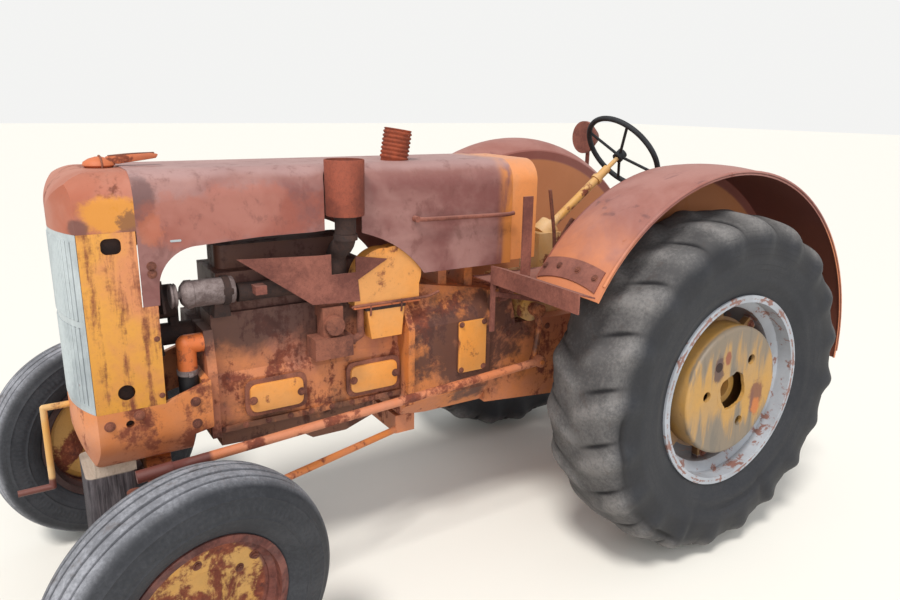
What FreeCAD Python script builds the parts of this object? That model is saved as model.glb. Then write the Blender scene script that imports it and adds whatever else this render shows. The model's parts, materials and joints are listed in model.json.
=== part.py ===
import FreeCAD, Part
import math
import os
from FreeCAD import Placement, Rotation, Vector

# Farm tractor of standard tread: four-cylinder engine under a steel hood, two tall lugged rear
# tyres under round fenders, two ribbed front tyres on a swept axle.  Millimetres and degrees.
# +X forward, +Y to the driver's left, +Z up, the floor at Z = 0.  The sizes below are laid out in
# a working frame; frame_shift moves the finished parts so that X = 0 is mid length.

doc = FreeCAD.newDocument("tractor")
sheet = doc.addObject("Spreadsheet::Sheet", "Dims")

SIZES = [
    # stance
    ("rear_axle_x", -830, "rear axle, along the length"),
    ("rear_half_track", 722, "rear tyre centre from the centre plane"),
    ("kingpin_x", 1330, "steering pins, along the length"),
    ("kingpin_y", 542, "steering pins from the centre plane"),
    ("steer_rest", 14, "front wheels as parked, degrees to the left"),
    ("front_camber", 3.8, "front wheels lean out at the top"),
    ("spindle_reach", 165, "steering pin to front tyre centre"),
    # rear wheels
    ("rear_tyre_r", 745, "over the lugs"),
    ("rear_crown_r", 712, "between the lugs, at the middle"),
    ("rear_shoulder_r", 668, "carcass at the shoulder"),
    ("rear_tyre_half", 205, "half section width"),
    ("rear_bead_r", 388, "tyre bore"),
    ("rear_flange_r", 406, "rim flange"),
    ("rear_rim_half", 178, "half width over the flanges"),
    ("rear_lugs", 20, "lugs on each side of the tread"),
    ("hat_r", 274, "drum of the wheel centre"),
    ("hat_face", 170, "its face, outward of the tyre centre"),
    ("hat_opening_r", 84, "opening in the face"),
    ("hat_hole_circle", 158, "round holes in the face, pitch radius"),
    ("hat_hole_r", 22, "round holes in the face"),
    ("rim_lugs", 8, "blocks from wheel centre to rim"),
    ("axle_r", 42, "rear axle shaft"),
    # front wheels
    ("front_tyre_r", 437, "over the middle rib"),
    ("front_tyre_half", 103, "half section width"),
    ("front_bead_r", 246, "tyre bore"),
    ("front_flange_r", 262, "rim flange"),
    ("front_rim_half", 78, "half width over the flanges"),
    ("front_hub_r", 58, "hub barrel"),
    ("spindle_r", 24, "spindle in the hub"),
    # steering
    ("kingpin_r", 20, "steering pin"),
    ("arm_length", 205, "steering arm and drop arm"),
    ("drop_arm_z", 1005, "drop arm shaft"),
    ("drag_front_z", 707, "front end of the drag link"),
    ("drag_y", 343, "drag link from the centre plane"),
    ("drag_r", 17, "drag link tube"),
    ("tie_arm", 150, "tie rod eye behind the steering pin"),
    ("tie_z", 476, "tie rod"),
    ("tie_r", 13, "tie rod tube"),
    ("steering_wheel_r", 205, "to the middle of the rim"),
    ("steering_grip_r", 13, "rim thickness, half"),
    ("column_r", 20, "steering column tube"),
    ("column_slope", 37, "column above the level, degrees"),
    # sheet metal
    ("hood_top", 1655, "top of the hood"),
    ("hood_half", 235, "half width of the hood"),
    ("hood_corner", 92, "rounding along the hood's edges"),
    ("hood_back", -160, "rear edge of the hood"),
    ("hood_front", 1285, "seam to the radiator shell"),
    ("hood_sheet", 3, "sheet thickness"),
    ("nose_corner_x", 1454, "front edge of the side panels"),
    ("nose_bulge", 58, "grille ahead of its side edges"),
    ("shell_bottom", 1474, "lower edge of the radiator shell"),
    ("support_top", 893, "front support, upper edge under the panels"),
    ("crank_z", 864, "starting crank"),
    ("crank_r", 11, "starting crank bar"),
    ("grille_bars", 17, "upright slots across the grille"),
    ("fender_r", 850, "left fender, edge radius"),
    ("fender_rise", 36, "fender centre above the axle"),
    ("fender_in", 480, "inner edge from the centre plane"),
    ("fender_out", 830, "outer edge from the centre plane"),
    ("fender_crown_left", 16, "crown above the edges, left"),
    ("fender_crown_right", 62, "crown above the edges, right"),
    ("fender_front_angle", 30, "front end above the level"),
    ("fender_back_angle", 184, "rear end"),
    # engine
    ("block_half", 165, "half width of the cylinder block"),
    ("block_back", 330, "joint to the clutch housing"),
    ("block_front", 1062, "front face of the block"),
    ("pan_rail", 716, "joint to the oil pan"),
    ("block_deck", 1150, "top of the block"),
    ("head_top", 1290, "top of the cylinder head"),
    # clearances
    ("running", 0.05, "radial clearance of a turning fit"),
    ("seat_gap", 0.3, "between parts that only rest together"),
    ("frame_shift", -29, "from the working frame to mid length"),
]

for row, (alias, value, note) in enumerate(SIZES, 1):
    sheet.set("A%d" % row, alias)
    sheet.set("B%d" % row, str(value))
    sheet.set("C%d" % row, note)
    sheet.setAlias("B%d" % row, alias)
doc.recompute()


class Reader:
    """Hands out the sheet's values by name."""

    def __getattr__(self, alias):
        return float(sheet.get(alias))


D = Reader()
PLANE_NORMAL = {"XY": 1, "XZ": -1, "YZ": 1}


def apply_size(target, prop, amount):
    """A number is set as it is, a text is bound to the sheet."""
    if isinstance(amount, str):
        target.setExpression(prop, amount)
    else:
        setattr(target, prop, amount)


def draw(sketch, loop):
    """Adds a closed loop of lines and three-point arcs, or a circle."""
    if loop[0] == "circle":
        _, cx, cy, radius = loop
        sketch.addGeometry(Part.Circle(Vector(cx, cy, 0), Vector(0, 0, 1), radius), False)
        return
    here = Vector(loop[0][0], loop[0][1], 0)
    start = here
    steps = list(loop[1:]) + [loop[0]]
    for step in steps:
        end = Vector(step[-2], step[-1], 0)
        if end.distanceToPoint(here) < 1e-6:
            continue
        if len(step) == 4:
            sketch.addGeometry(Part.Arc(here, Vector(step[0], step[1], 0), end), False)
        else:
            sketch.addGeometry(Part.LineSegment(here, end), False)
        here = end
    if here.distanceToPoint(start) > 1e-6:
        raise ValueError("open loop")


class Piece:
    """One body built up from sketches on its own origin planes."""

    def __init__(self, label):
        self.body = doc.addObject("PartDesign::Body", label)
        self.body.Label = label
        self.body.AllowCompound = True
        self.count = 0

    def plane(self, plane):
        for feature in self.body.Origin.OriginFeatures:
            if feature.Role == plane + "_Plane":
                return feature
        raise ValueError(plane)

    def sketch(self, plane, loops, at=0.0):
        self.count += 1
        name = "%s_profile_%d" % (self.body.Label, self.count)
        sketch = self.body.newObject("Sketcher::SketchObject", name)
        sketch.AttachmentSupport = (self.plane(plane), [""])
        sketch.MapMode = "FlatFace"
        side = PLANE_NORMAL[plane]
        if isinstance(at, str):
            sign = "" if side > 0 else "-1 * "
            sketch.setExpression("AttachmentOffset.Base.z", "%s(%s)" % (sign, at))
        else:
            sketch.AttachmentOffset = Placement(Vector(0, 0, side * at), Rotation())
        for loop in loops:
            draw(sketch, loop)
        return sketch

    def feature(self, kind, name):
        self.count += 1
        return self.body.newObject("PartDesign::" + kind, "%s_%s_%d" % (self.body.Label, name, self.count))

    def pad(self, plane, loops, at, length, both=False):
        """Adds material from the plane along +Z, -Y or +X."""
        made = self.feature("Pad", "pad")
        made.Profile = self.sketch(plane, loops, at)
        apply_size(made, "Length", length)
        if both:
            made.SideType = "Symmetric"
        doc.recompute()
        return made

    def cut(self, plane, loops, at, length=None):
        """Removes material from the plane along -Z, +Y or -X; with no length right through."""
        made = self.feature("Pocket", "pocket")
        made.Profile = self.sketch(plane, loops, at)
        if length is None:
            made.SideType = "Symmetric"
            made.Length = 8000.0
        else:
            apply_size(made, "Length", length)
        doc.recompute()
        return made

    def trim(self, plane, outline):
        """Keeps only what lies inside the outline."""
        far = 4000.0
        frame = [(-far, -far), (far, -far), (far, far), (-far, far)]
        return self.cut(plane, [frame, outline], 0.0)

    def spin(self, loops, angle=360.0, plane="YZ", axis="H_Axis", middle=False):
        """Turns a profile about the body's Y axis."""
        made = self.feature("Revolution", "turned")
        sketch = self.sketch(plane, loops)
        made.Profile = sketch
        made.ReferenceAxis = (sketch, [axis])
        made.Angle = angle
        made.Midplane = middle
        doc.recompute()
        return made

    def groove(self, loops, plane="YZ", axis="H_Axis"):
        made = self.feature("Groove", "groove")
        sketch = self.sketch(plane, loops)
        made.Profile = sketch
        made.ReferenceAxis = (sketch, [axis])
        made.Angle = 360.0
        doc.recompute()
        return made

    def ring(self, features, number, axis="Y_Axis"):
        """Repeats features about an origin axis."""
        made = self.feature("PolarPattern", "ring")
        made.Originals = list(features)
        line = [f for f in self.body.Origin.OriginFeatures if f.Role == axis][0]
        made.Axis = (line, [""])
        made.Angle = 360.0
        apply_size(made, "Occurrences", number)
        self.body.Tip = made
        doc.recompute()
        return made

    def mirror(self, features, plane="XZ"):
        made = self.feature("Mirrored", "mirror")
        made.Originals = list(features)
        made.MirrorPlane = (self.plane(plane), [""])
        self.body.Tip = made
        doc.recompute()
        return made

    def place(self, where, turn=None):
        self.body.Placement = Placement(where, turn if turn else Rotation())
        return self


def rect(a0, b0, a1, b1):
    return [(a0, b0), (a1, b0), (a1, b1), (a0, b1)]


def round_rect(a0, b0, a1, b1, r):
    k = r * (1 - math.sqrt(0.5))
    return [
        (a0 + r, b0), (a1 - r, b0), (a1 - k, b0 + k, a1, b0 + r), (a1, b1 - r),
        (a1 - k, b1 - k, a1 - r, b1), (a0 + r, b1), (a0 + k, b1 - k, a0, b1 - r),
        (a0, b0 + r), (a0 + k, b0 + k, a0 + r, b0),
    ]


def mirrored(loop):
    """The same loop on the other side of the first axis."""
    flipped = []
    for step in loop:
        flipped.append(tuple(-v if i % 2 == 0 else v for i, v in enumerate(step)))
    return flipped


def turned(loop, degrees):
    c, s = math.cos(math.radians(degrees)), math.sin(math.radians(degrees))
    out = []
    for step in loop:
        pairs = [step[i:i + 2] for i in range(0, len(step), 2)]
        out.append(tuple(v for a, b in pairs for v in (a * c - b * s, a * s + b * c)))
    return out


# Free-form parts: lofts, swept tubes and lugs, whose sizes are read from the sheet.

def tube(points, radius, bend=0.0):
    """Round bar along straight legs, with ball-shaped corners."""
    parts = []
    for a, b in zip(points[:-1], points[1:]):
        leg = b - a
        parts.append(Part.makeCylinder(radius, leg.Length, a, leg))
    for corner in points[1:-1]:
        parts.append(Part.makeSphere(radius, corner))
    return fused(parts)


def fused(parts):
    shape = parts[0]
    if len(parts) > 1:
        shape = shape.multiFuse(parts[1:])
    return shape.removeSplitter()


def prism(points, along):
    """Straight-sided solid from a flat outline of 3-D points."""
    wire = Part.makePolygon(list(points) + [points[0]])
    return Part.Face(wire).extrude(along)


def block(x0, y0, z0, x1, y1, z1):
    return Part.makeBox(x1 - x0, y1 - y0, z1 - z0, Vector(x0, y0, z0))


def loft(sections, ruled=True):
    wires = [Part.makePolygon(list(s) + [s[0]]) for s in sections]
    return Part.makeLoft(wires, True, ruled)


def free_part(label, shape, where=None, turn=None):
    made = doc.addObject("Part::Feature", label)
    made.Label = label
    made.Shape = shape
    if where is not None:
        made.Placement = Placement(where, turn if turn else Rotation())
    return made


NODES = []


def node(made):
    NODES.append(made.body if isinstance(made, Piece) else made)
    return made


# Wheels are built about their own axle, with +Y outward, and then placed.

REAR_Z = D.rear_tyre_r
rear_centre = {
    "left": Vector(D.rear_axle_x, D.rear_half_track, REAR_Z),
    "right": Vector(D.rear_axle_x, -D.rear_half_track, REAR_Z),
}
HALF_TURN = Rotation(Vector(0, 0, 1), 180)


def revolved(profile):
    """Solid ring from (y, r) steps, turned about the Y axis."""
    edges = []
    here = Vector(0, profile[0][0], profile[0][1])
    for step in list(profile[1:]) + [profile[0]]:
        end = Vector(0, step[-2], step[-1])
        if len(step) == 4:
            edges.append(Part.Arc(here, Vector(0, step[0], step[1]), end).toShape())
        else:
            edges.append(Part.makeLine(here, end))
        here = end
    return Part.Face(Part.Wire(edges)).revolve(Vector(), Vector(0, 1, 0), 360)


def rear_tyre(side):
    half, bead, crown = D.rear_tyre_half, D.rear_bead_r, D.rear_crown_r
    shoulder, tip = D.rear_shoulder_r, D.rear_tyre_r
    tread_half = half - 14
    bead_half = D.rear_rim_half - 13
    lip = D.rear_flange_r + 3
    carcass = revolved([
        (-bead_half, bead), (-bead_half, lip), (-half, bead + 130, -tread_half, shoulder),
        (0, crown, tread_half, shoulder), (half, bead + 130, bead_half, lip), (bead_half, bead),
    ])
    envelope = revolved([
        (-half, shoulder - 60), (-half, shoulder + 4), (-tread_half + 14, tip - 26), (-60, tip),
        (60, tip), (tread_half - 14, tip - 26), (half, shoulder + 4), (half, shoulder - 60),
    ])
    sense = 1 if side == "left" else -1
    number = int(D.rear_lugs)
    pitch = 360.0 / number
    # plan of one lug: x runs round the tyre, y across it
    plan = [(34, 6), (-14, 6), (-80, tread_half), (-88, half + 6), (-14, half + 6), (-4, tread_half)]
    low, high = shoulder - 52, tip + 4
    lugs = []
    for hand in (1, -1):
        outline = [Vector(sense * x, hand * y, low) for x, y in plan]
        lug = prism(outline, Vector(0, 0, high - low)).common(envelope)
        lug.rotate(Vector(), Vector(0, 1, 0), pitch / 2 if hand < 0 else 0)
        for i in range(number):
            copy = lug.copy()
            copy.rotate(Vector(), Vector(0, 1, 0), i * pitch)
            lugs.append(copy)
    return carcass.multiFuse(lugs)


for side in ("left", "right"):
    turn = Rotation() if side == "left" else HALF_TURN
    node(free_part("rear_tyre_" + side, rear_tyre(side), rear_centre[side], turn))

    seat = D.rear_bead_r - D.seat_gap
    edge, lip = D.rear_rim_half, D.rear_flange_r
    wheel = Piece("rear_wheel_" + side)
    wheel.spin([[
        (edge, lip), (edge - 12, lip), (edge - 12, seat), (112, seat), (88, 348), (-88, 348),
        (-112, seat), (-edge + 12, seat), (-edge + 12, lip), (-edge, lip), (-edge, seat - 10),
        (-114, seat - 10), (-94, 340), (94, 340), (114, seat - 10), (edge, seat - 10),
    ]])
    hat, face = D.hat_r, D.hat_face
    bore = D.axle_r + D.running
    wheel.spin([[
        (face, D.hat_opening_r), (face, hat - 14), (face - 4, hat - 4, face - 14, hat), (52, hat),
        (52, hat + 14), (36, hat + 14), (36, 100), (-70, 92), (-70, bore), (118, bore), (118, 74),
        (54, 84), (54, hat - 14), (face - 16, hat - 14), (face - 16, D.hat_opening_r),
    ]])
    spoke = wheel.pad("XZ", [[(-38, hat - 8), (38, hat - 8), (30, 344), (-30, 344)]], 60.0, 30.0)
    wheel.ring([spoke], "Dims.rim_lugs")
    holes = []
    for angle in (130, 246, 2):
        a = math.radians(angle)
        holes.append(("circle", D.hat_hole_circle * math.cos(a), D.hat_hole_circle * math.sin(a),
                      D.hat_hole_r))
    wheel.cut("XZ", holes, face - 30, 60.0)
    wheel.place(rear_centre[side], turn)
    node(wheel)


def knuckle_turn(side):
    """From the wheel's own frame to its stand on the steered, leaning spindle."""
    steer = Rotation(Vector(0, 0, 1), D.steer_rest)
    lean = Rotation(Vector(1, 0, 0), -D.front_camber)
    turn = steer * lean if side == "left" else steer * HALF_TURN * lean
    return turn


KINGPIN = {
    "left": Vector(D.kingpin_x, D.kingpin_y, 0),
    "right": Vector(D.kingpin_x, -D.kingpin_y, 0),
}


def front_centre(side):
    out = knuckle_turn(side).multVec(Vector(0, 1, 0))
    flat = math.hypot(out.x, out.y)
    reach = D.spindle_reach / flat
    base = KINGPIN[side] + Vector(out.x, out.y, 0) * reach
    return Vector(base.x, base.y, D.front_tyre_r)


for side in ("left", "right"):
    half, tip, bead = D.front_tyre_half, D.front_tyre_r, D.front_bead_r
    bead_half = D.front_rim_half - 9
    lip = D.front_flange_r + 2
    tyre = Piece("front_tyre_" + side)
    tyre.spin([[
        (-bead_half, bead), (-bead_half, lip), (-half, bead + 84, -88, tip - 28), (-72, tip - 12),
        (-56, tip - 7),
        (-56, tip - 16), (-48, tip - 16), (-48, tip - 5), (-24, tip - 1), (-24, tip - 15),
        (-15, tip - 15), (-15, tip), (15, tip), (15, tip - 15), (24, tip - 15), (24, tip - 1),
        (48, tip - 5), (48, tip - 16), (56, tip - 16), (56, tip - 7), (72, tip - 12),
        (88, tip - 28), (half, bead + 84, bead_half, lip), (bead_half, bead),
    ]])
    tyre.place(front_centre(side), knuckle_turn(side))
    node(tyre)

    seat = bead - D.seat_gap
    edge, lip = D.front_rim_half, D.front_flange_r
    hub, bore = D.front_hub_r, D.spindle_r + D.running
    wheel = Piece("front_wheel_" + side)
    wheel.spin([[
        (edge, lip), (edge - 8, lip), (edge - 8, seat), (48, seat), (34, 226), (-34, 226),
        (-48, seat), (-edge + 8, seat), (-edge + 8, lip), (-edge, lip), (-edge, seat - 7),
        (-50, seat - 7), (-38, 219), (38, 219), (50, seat - 7), (edge, seat - 7),
    ]])
    wheel.spin([[
        (30, 222), (22, 222), (4, 190), (4, 120), (22, 86), (-30, hub), (-46, hub), (-46, bore),
        (88, bore), (88, 0), (104, 0), (104, 34), (98, 44), (62, 46), (56, hub), (38, 86),
        (16, 122), (16, 186),
    ]])
    wheel.place(front_centre(side), knuckle_turn(side))
    node(wheel)


# Steering: pins in the axle ends, arms, links, drop arm and wheel.

def steered(side, offset, z):
    """A point that turns with the steering pin, given straight ahead."""
    turn = Rotation(Vector(0, 0, 1), D.steer_rest)
    return KINGPIN[side] + turn.multVec(offset) + Vector(0, 0, z)


def knuckle(side):
    hand = 1 if side == "left" else -1
    pin = KINGPIN[side]
    centre = front_centre(side)
    out = knuckle_turn(side).multVec(Vector(0, 1, 0))
    parts = [Part.makeCylinder(D.kingpin_r, 250, pin + Vector(0, 0, 420), Vector(0, 0, 1))]
    parts.append(Part.makeCylinder(38, 66, pin + Vector(0, 0, 404), Vector(0, 0, 1)))
    inner = centre - out * (D.spindle_reach - 14)
    parts.append(Part.makeCylinder(D.spindle_r, D.spindle_reach + 60, inner, out))
    parts.append(Part.makeCylinder(36, 56, inner, out))
    eye = steered(side, Vector(-D.tie_arm, 0, 0), D.tie_z - 46)
    parts.append(rod_arm(pin + Vector(0, 0, 450), eye, 34, 20))
    parts.append(Part.makeCylinder(24, 20, eye + Vector(0, 0, -10), Vector(0, 0, 1)))
    parts.append(Part.makeCylinder(10, 50, eye, Vector(0, 0, 1)))
    if side == "left":
        top = D.drag_front_z - D.drag_r - 40
        ball = steered(side, Vector(0, -D.arm_length, 0), top)
        parts.append(Part.makeCylinder(34, 22, pin + Vector(0, 0, top - 11), Vector(0, 0, 1)))
        parts.append(rod_arm(pin + Vector(0, 0, top), ball, 40, 20))
        parts.append(Part.makeCylinder(25, 22, ball + Vector(0, 0, -11), Vector(0, 0, 1)))
    return fused(parts)


def rod_arm(start, end, width, depth):
    """Flat arm between two points, on edge or flat by its width and depth."""
    along = end - start
    aside = Vector(0, 0, 1).cross(along).normalize() * (width / 2)
    up = Vector(0, 0, depth / 2)
    outline = [start + aside - up, start - aside - up, end - aside * 0.8 - up, end + aside * 0.8 - up]
    return prism(outline, up * 2)


for side in ("left", "right"):
    node(free_part("knuckle_" + side, knuckle(side)))

tie_ends = {side: steered(side, Vector(-D.tie_arm, 0, 0), D.tie_z) for side in KINGPIN}
tie_along = tie_ends["right"] - tie_ends["left"]
tie_parts = [Part.makeCylinder(D.tie_r, tie_along.Length - 40, tie_ends["left"]
                               + tie_along * (20 / tie_along.Length), tie_along)]
for end in tie_ends.values():
    tie_parts.append(Part.makeCylinder(24, 32, end + Vector(0, 0, -16), Vector(0, 0, 1)))
tie_rod = fused(tie_parts)
for end in tie_ends.values():
    tie_rod = tie_rod.cut(Part.makeCylinder(10 + D.running, 60, end + Vector(0, 0, -30)))
node(free_part("tie_rod", tie_rod))

straight_ball = Vector(D.kingpin_x, D.kingpin_y - D.arm_length, 0)
swing = math.radians(D.steer_rest)
drop_hinge = Vector(-306, D.drag_y, D.drop_arm_z)
drop_ball = drop_hinge + Vector(math.sin(swing), 0, -math.cos(swing)) * D.arm_length
drag_front = Vector(D.kingpin_x + D.arm_length * math.sin(swing) - 8, D.drag_y, D.drag_front_z)

drop_root = Vector(drop_hinge.x, 236, drop_hinge.z)
arm_path = [drop_root + Vector(0, 6, 0), Vector(drop_hinge.x + 12, 286, drop_hinge.z - 60),
            Vector(drop_ball.x, drop_ball.y - 34, drop_ball.z + 30), drop_ball + Vector(0, -34, 0)]
arm_parts = [Part.makeCylinder(30, 44, drop_root + Vector(0, -6, 0), Vector(0, 1, 0)),
             Part.makeCylinder(22, 30, drop_root + Vector(0, -25.7, 0), Vector(0, 1, 0))]
arm_parts.append(tube(arm_path, 14))
arm_parts.append(Part.makeCylinder(20, 20, drop_ball + Vector(0, -44, 0), Vector(0, 1, 0)))
arm_parts.append(Part.makeCylinder(10, 60, drop_ball + Vector(0, -36, 0), Vector(0, 1, 0)))
node(free_part("drop_arm", fused(arm_parts)))

link_along = drag_front - drop_ball
link_parts = [Part.makeCylinder(D.drag_r, link_along.Length, drop_ball, link_along)]
link_parts.append(Part.makeCylinder(24, 36, drop_ball + Vector(0, -18, 0), Vector(0, 1, 0)))
socket_start = drag_front - link_along * (110 / link_along.Length)
link_parts.append(Part.makeCylinder(D.drag_r + 4, 110, socket_start, link_along))
drag_link = fused(link_parts)
drag_link = drag_link.cut(Part.makeCylinder(10 + D.running, 80, drop_ball + Vector(0, -40, 0),
                                            Vector(0, 1, 0)))
node(free_part("drag_link", drag_link))

GEAR_TOP = 940
slope = math.radians(D.column_slope)
column_up = Vector(-math.cos(slope), 0, math.sin(slope))
wheel_hub = Vector(-1004, 0, 1648)
wheel_turn = Rotation(Vector(0, 0, 1), column_up)


def steering_wheel():
    ring = Part.makeTorus(D.steering_wheel_r, D.steering_grip_r)
    parts = [ring, Part.makeCylinder(26, 44, Vector(0, 0, -44))]
    for angle in (35, 125, 215, 305):
        a = math.radians(angle)
        end = Vector(math.cos(a), math.sin(a), 0) * (D.steering_wheel_r - 3)
        start = Vector(math.cos(a), math.sin(a), 0) * 16 + Vector(0, 0, -22)
        parts.append(Part.makeCylinder(7, (end - start).Length, start, end - start))
    return fused(parts)


node(free_part("steering_wheel", steering_wheel(), wheel_hub, wheel_turn))

column_foot = wheel_hub - column_up * 610
column_parts = [
    Part.makeCylinder(D.column_r, 470, column_foot + column_up * 20, column_up),
    Part.makeCylinder(11, 80.7, column_foot + column_up * 485, column_up),
    Part.makeCylinder(27, 18, column_foot + column_up * 400, column_up),
    Part.makeCylinder(56, 70, column_foot - column_up * 10, column_up),
]
box_x, box_z = column_foot.x, column_foot.z
column_parts.append(block(box_x - 60, -70, 1100, box_x + 70, 70, box_z + 20))
column_parts.append(Part.makeCylinder(60, 150, Vector(drop_hinge.x, 60, drop_hinge.z), Vector(0, 1, 0)))
column_parts.append(block(box_x - 60, -70, GEAR_TOP + D.seat_gap, drop_hinge.x + 60, 120, 1120))
node(free_part("steering_column", fused(column_parts)))

# Engine, clutch housing, gearbox and rear axle.

engine = Piece("engine_block")
half = D.block_half
engine.pad("YZ", [[
    (-half, D.pan_rail), (half, D.pan_rail), (half, 900), (half - 15, 930),
    (half - 15, D.block_deck), (-half + 15, D.block_deck), (-half + 15, 930), (-half, 900),
]], "Dims.block_back", "Dims.block_front - Dims.block_back")
engine.pad("YZ", [rect(-130, D.block_deck, 130, D.head_top)], 470.0, 560.0)
engine.pad("YZ", [[(-200, D.pan_rail - 4), (200, D.pan_rail - 4), (200, 960), (170, 1104),
                   (-170, 1104), (-200, 960)]], "Dims.block_front", 32.0)
engine.pad("YZ", [rect(-half - 12, D.pan_rail, half + 12, D.pan_rail + 22)], "Dims.block_back",
           "Dims.block_front - Dims.block_back")
engine.pad("XZ", [round_rect(744, 768, 958, 887, 34)], half + 14, 2 * half + 28)
engine.pad("XZ", [round_rect(349, 765, 563, 884, 34)], half + 14, 2 * half + 28)
engine.pad("XY", [round_rect(490, -70, 1010, 70, 30)], "Dims.head_top", 84.0)
node(engine)

pan = Piece("oil_pan")
pan.pad("XZ", [[(440, D.pan_rail - D.seat_gap), (440, 640), (560, 598), (700, 598), (760, 640),
                (1050, 650), (1050, D.pan_rail - D.seat_gap)]], 140.0, 280.0)
node(pan)

bell = Piece("clutch_housing")
bell.pad("YZ", [[(-215, 690), (-150, 600), (150, 600), (215, 690), (222, 1000), (118, 1160),
                 (-118, 1160), (-222, 1000)]], -80.0, "Dims.block_back - Dims.seat_gap + 80")
bell.trim("XZ", [(D.block_back, 620), (D.block_back, 1180), (250, 1160), (-80, 1110), (-80, 600),
                 (200, 600)])
bell.pad("YZ", [[(-240, 690), (-165, 640), (165, 640), (240, 690), (245, 1010), (130, 1178),
                 (-130, 1178), (-245, 1010)]], 302.0, "Dims.block_back - Dims.seat_gap - 302")
bell.pad("XZ", [round_rect(-48, 779, 88, 1000, 12)], 230.0, 20.0)
bell.pad("XY", [rect(-60, -100, -20, 100), rect(70, -100, 110, 100)], 1000.0, 239.7)
node(bell)

gearbox = Piece("gearbox")
back, front = D.rear_axle_x - 190, -80 - D.seat_gap
gearbox.pad("XZ", [[(front, 600), (front, 1110), (-200, 1100), (-236, GEAR_TOP), (back, GEAR_TOP),
                    (back, 520), (-700, 500), (-500, 560)]], 190.0, 380.0)
gearbox.pad("XZ", [("circle", D.rear_axle_x, REAR_Z, 105)], 560.0, 1120.0)
gearbox.pad("XZ", [("circle", D.rear_axle_x, REAR_Z, D.axle_r)], 790.0, 1580.0)
gearbox.pad("XY", [rect(back - 150, -45, back + 40, 45)], 470.0, 40.0)
gearbox.pad("XY", [rect(back - 20, -60, back + 60, 60)], 470.0, 120.0)
gearbox.cut("XY", [("circle", back - 125, 0, 14)], 520.0, 60.0)
node(gearbox)

# Front support, radiator, grille and hood.

NOSE_X = D.nose_corner_x + D.nose_bulge
HALF = D.hood_half


def nose_plan(half, back, corner, tip):
    """Plan with a bowed front edge."""
    return [(back, -half), (corner, -half), (tip, 0, corner, half), (back, half)]


bolster = Piece("front_support")
back = D.block_front + 32 + D.seat_gap
top = D.support_top
bolster.pad("XY", [nose_plan(HALF, back, D.nose_corner_x, NOSE_X + 2)], 660.0, 300.0)
bolster.trim("XZ", [(back, 945), (1245, top), (1520, top), (1519, 860), (1500, 760, 1436, 672),
                    (1290, 672), (1160, 672), (1160, 760), (back, 775)])
bolster.trim("YZ", [(-HALF, 1000), (-HALF, 790), (-205, 712, -110, 672), (110, 672),
                    (205, 712, HALF, 790), (HALF, 1000)])
bolster.cut("XY", [nose_plan(HALF - 22, back + 22, D.nose_corner_x - 22, NOSE_X - 24)], 960.0, 228.0)
bolster.cut("XZ", [("circle", 1359, 845, 13)], -400.0, 800.0)
bolster.cut("YZ", [("circle", 0, D.crank_z, D.crank_r + D.running)], 1600.0, 200.0)
node(bolster)

radiator = Piece("radiator")
radiator.pad("XY", [rect(1335, -200, 1425, 200)], 732.0, 700.0)
radiator.pad("XY", [rect(1325, -205, 1435, 205)], 1400.0, "Dims.shell_bottom - Dims.seat_gap - 1400")
node(radiator)

shell_top = D.hood_top - 3


def shell_section(half, top, bottom, corner):
    k = corner * (1 - math.sqrt(0.5))
    return [(-half, bottom), (half, bottom), (half, top - corner), (half - k, top - k, half - corner, top),
            (-half + corner, top), (-half + k, top - k, -half, top - corner)]


def shell_solid(inset):
    half = HALF - inset
    plan = nose_plan(half, D.hood_front - (5 if inset else 0), D.nose_corner_x - inset, NOSE_X - inset)
    side = [(1200, D.shell_bottom - (5 if inset else 0)), (1600, D.shell_bottom - (5 if inset else 0)),
            (1600, 1520), (NOSE_X - inset, 1520), (1478 - inset, 1612 - inset, 1390, shell_top - inset),
            (1200, shell_top - inset)]
    section = shell_section(half, shell_top - inset, D.shell_bottom - (5 if inset else 0), D.hood_corner)
    return plan, side, section


shell = Piece("radiator_shell")
plan, side_view, section = shell_solid(0)
shell.pad("XY", [plan], "Dims.shell_bottom", 200.0)
shell.trim("XZ", side_view)
shell.trim("YZ", section)
node(shell)

cap = Piece("radiator_cap")
cap.pad("XY", [("circle", 1342, 0, 34)], shell_top + D.seat_gap, 12.0)
cap.pad("XY", [("circle", 1342, 0, 47)], shell_top + 12.0, 12.0)
cap.pad("XY", [[(1360, -16), (1360, 16), (1161, 10), (1161, -10)]], shell_top + 20.0, 9.0)
node(cap)

panels = Piece("side_panels")
high, low = D.shell_bottom - D.seat_gap, D.support_top + D.seat_gap
outline = [(1454, high), (1288, high), (1288, 1229.5), (1240, 1229.5), (1244, low), (1454, low)]
panels.pad("XZ", [outline], HALF, 2 * HALF)
panels.cut("XZ", [rect(1100, 800, 1600, 1600)], -HALF + 4, 2 * HALF - 8)
panels.cut("XZ", [round_rect(1332, 1407, 1390, 1457, 18)], -400.0, 800.0)
panels.cut("XZ", [("circle", 1360, 955, 26)], -400.0, 800.0)
node(panels)

grille = Piece("grille")
grille_top = D.shell_bottom - D.seat_gap
grille.pad("XY", [nose_plan(HALF - 6, 1455, D.nose_corner_x + 2, NOSE_X)],
           "Dims.support_top + Dims.seat_gap",
           "Dims.shell_bottom - Dims.support_top - 2 * Dims.seat_gap")
grille.cut("XY", [nose_plan(HALF - 14, 1400, D.nose_corner_x - 5, NOSE_X - 7)], 1600.0, 800.0)
bars = int(D.grille_bars)
pitch = 2 * (HALF - 24) / bars
slots = []
for low, high in ((D.support_top + 26, 1180), (1200, D.shell_bottom - 24)):
    for i in range(bars):
        y = -HALF + 24 + (i + 0.5) * pitch
        slots.append(rect(y - pitch * 0.3, low, y + pitch * 0.3, high))
grille.cut("YZ", slots, 1700.0, 400.0)
node(grille)

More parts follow.
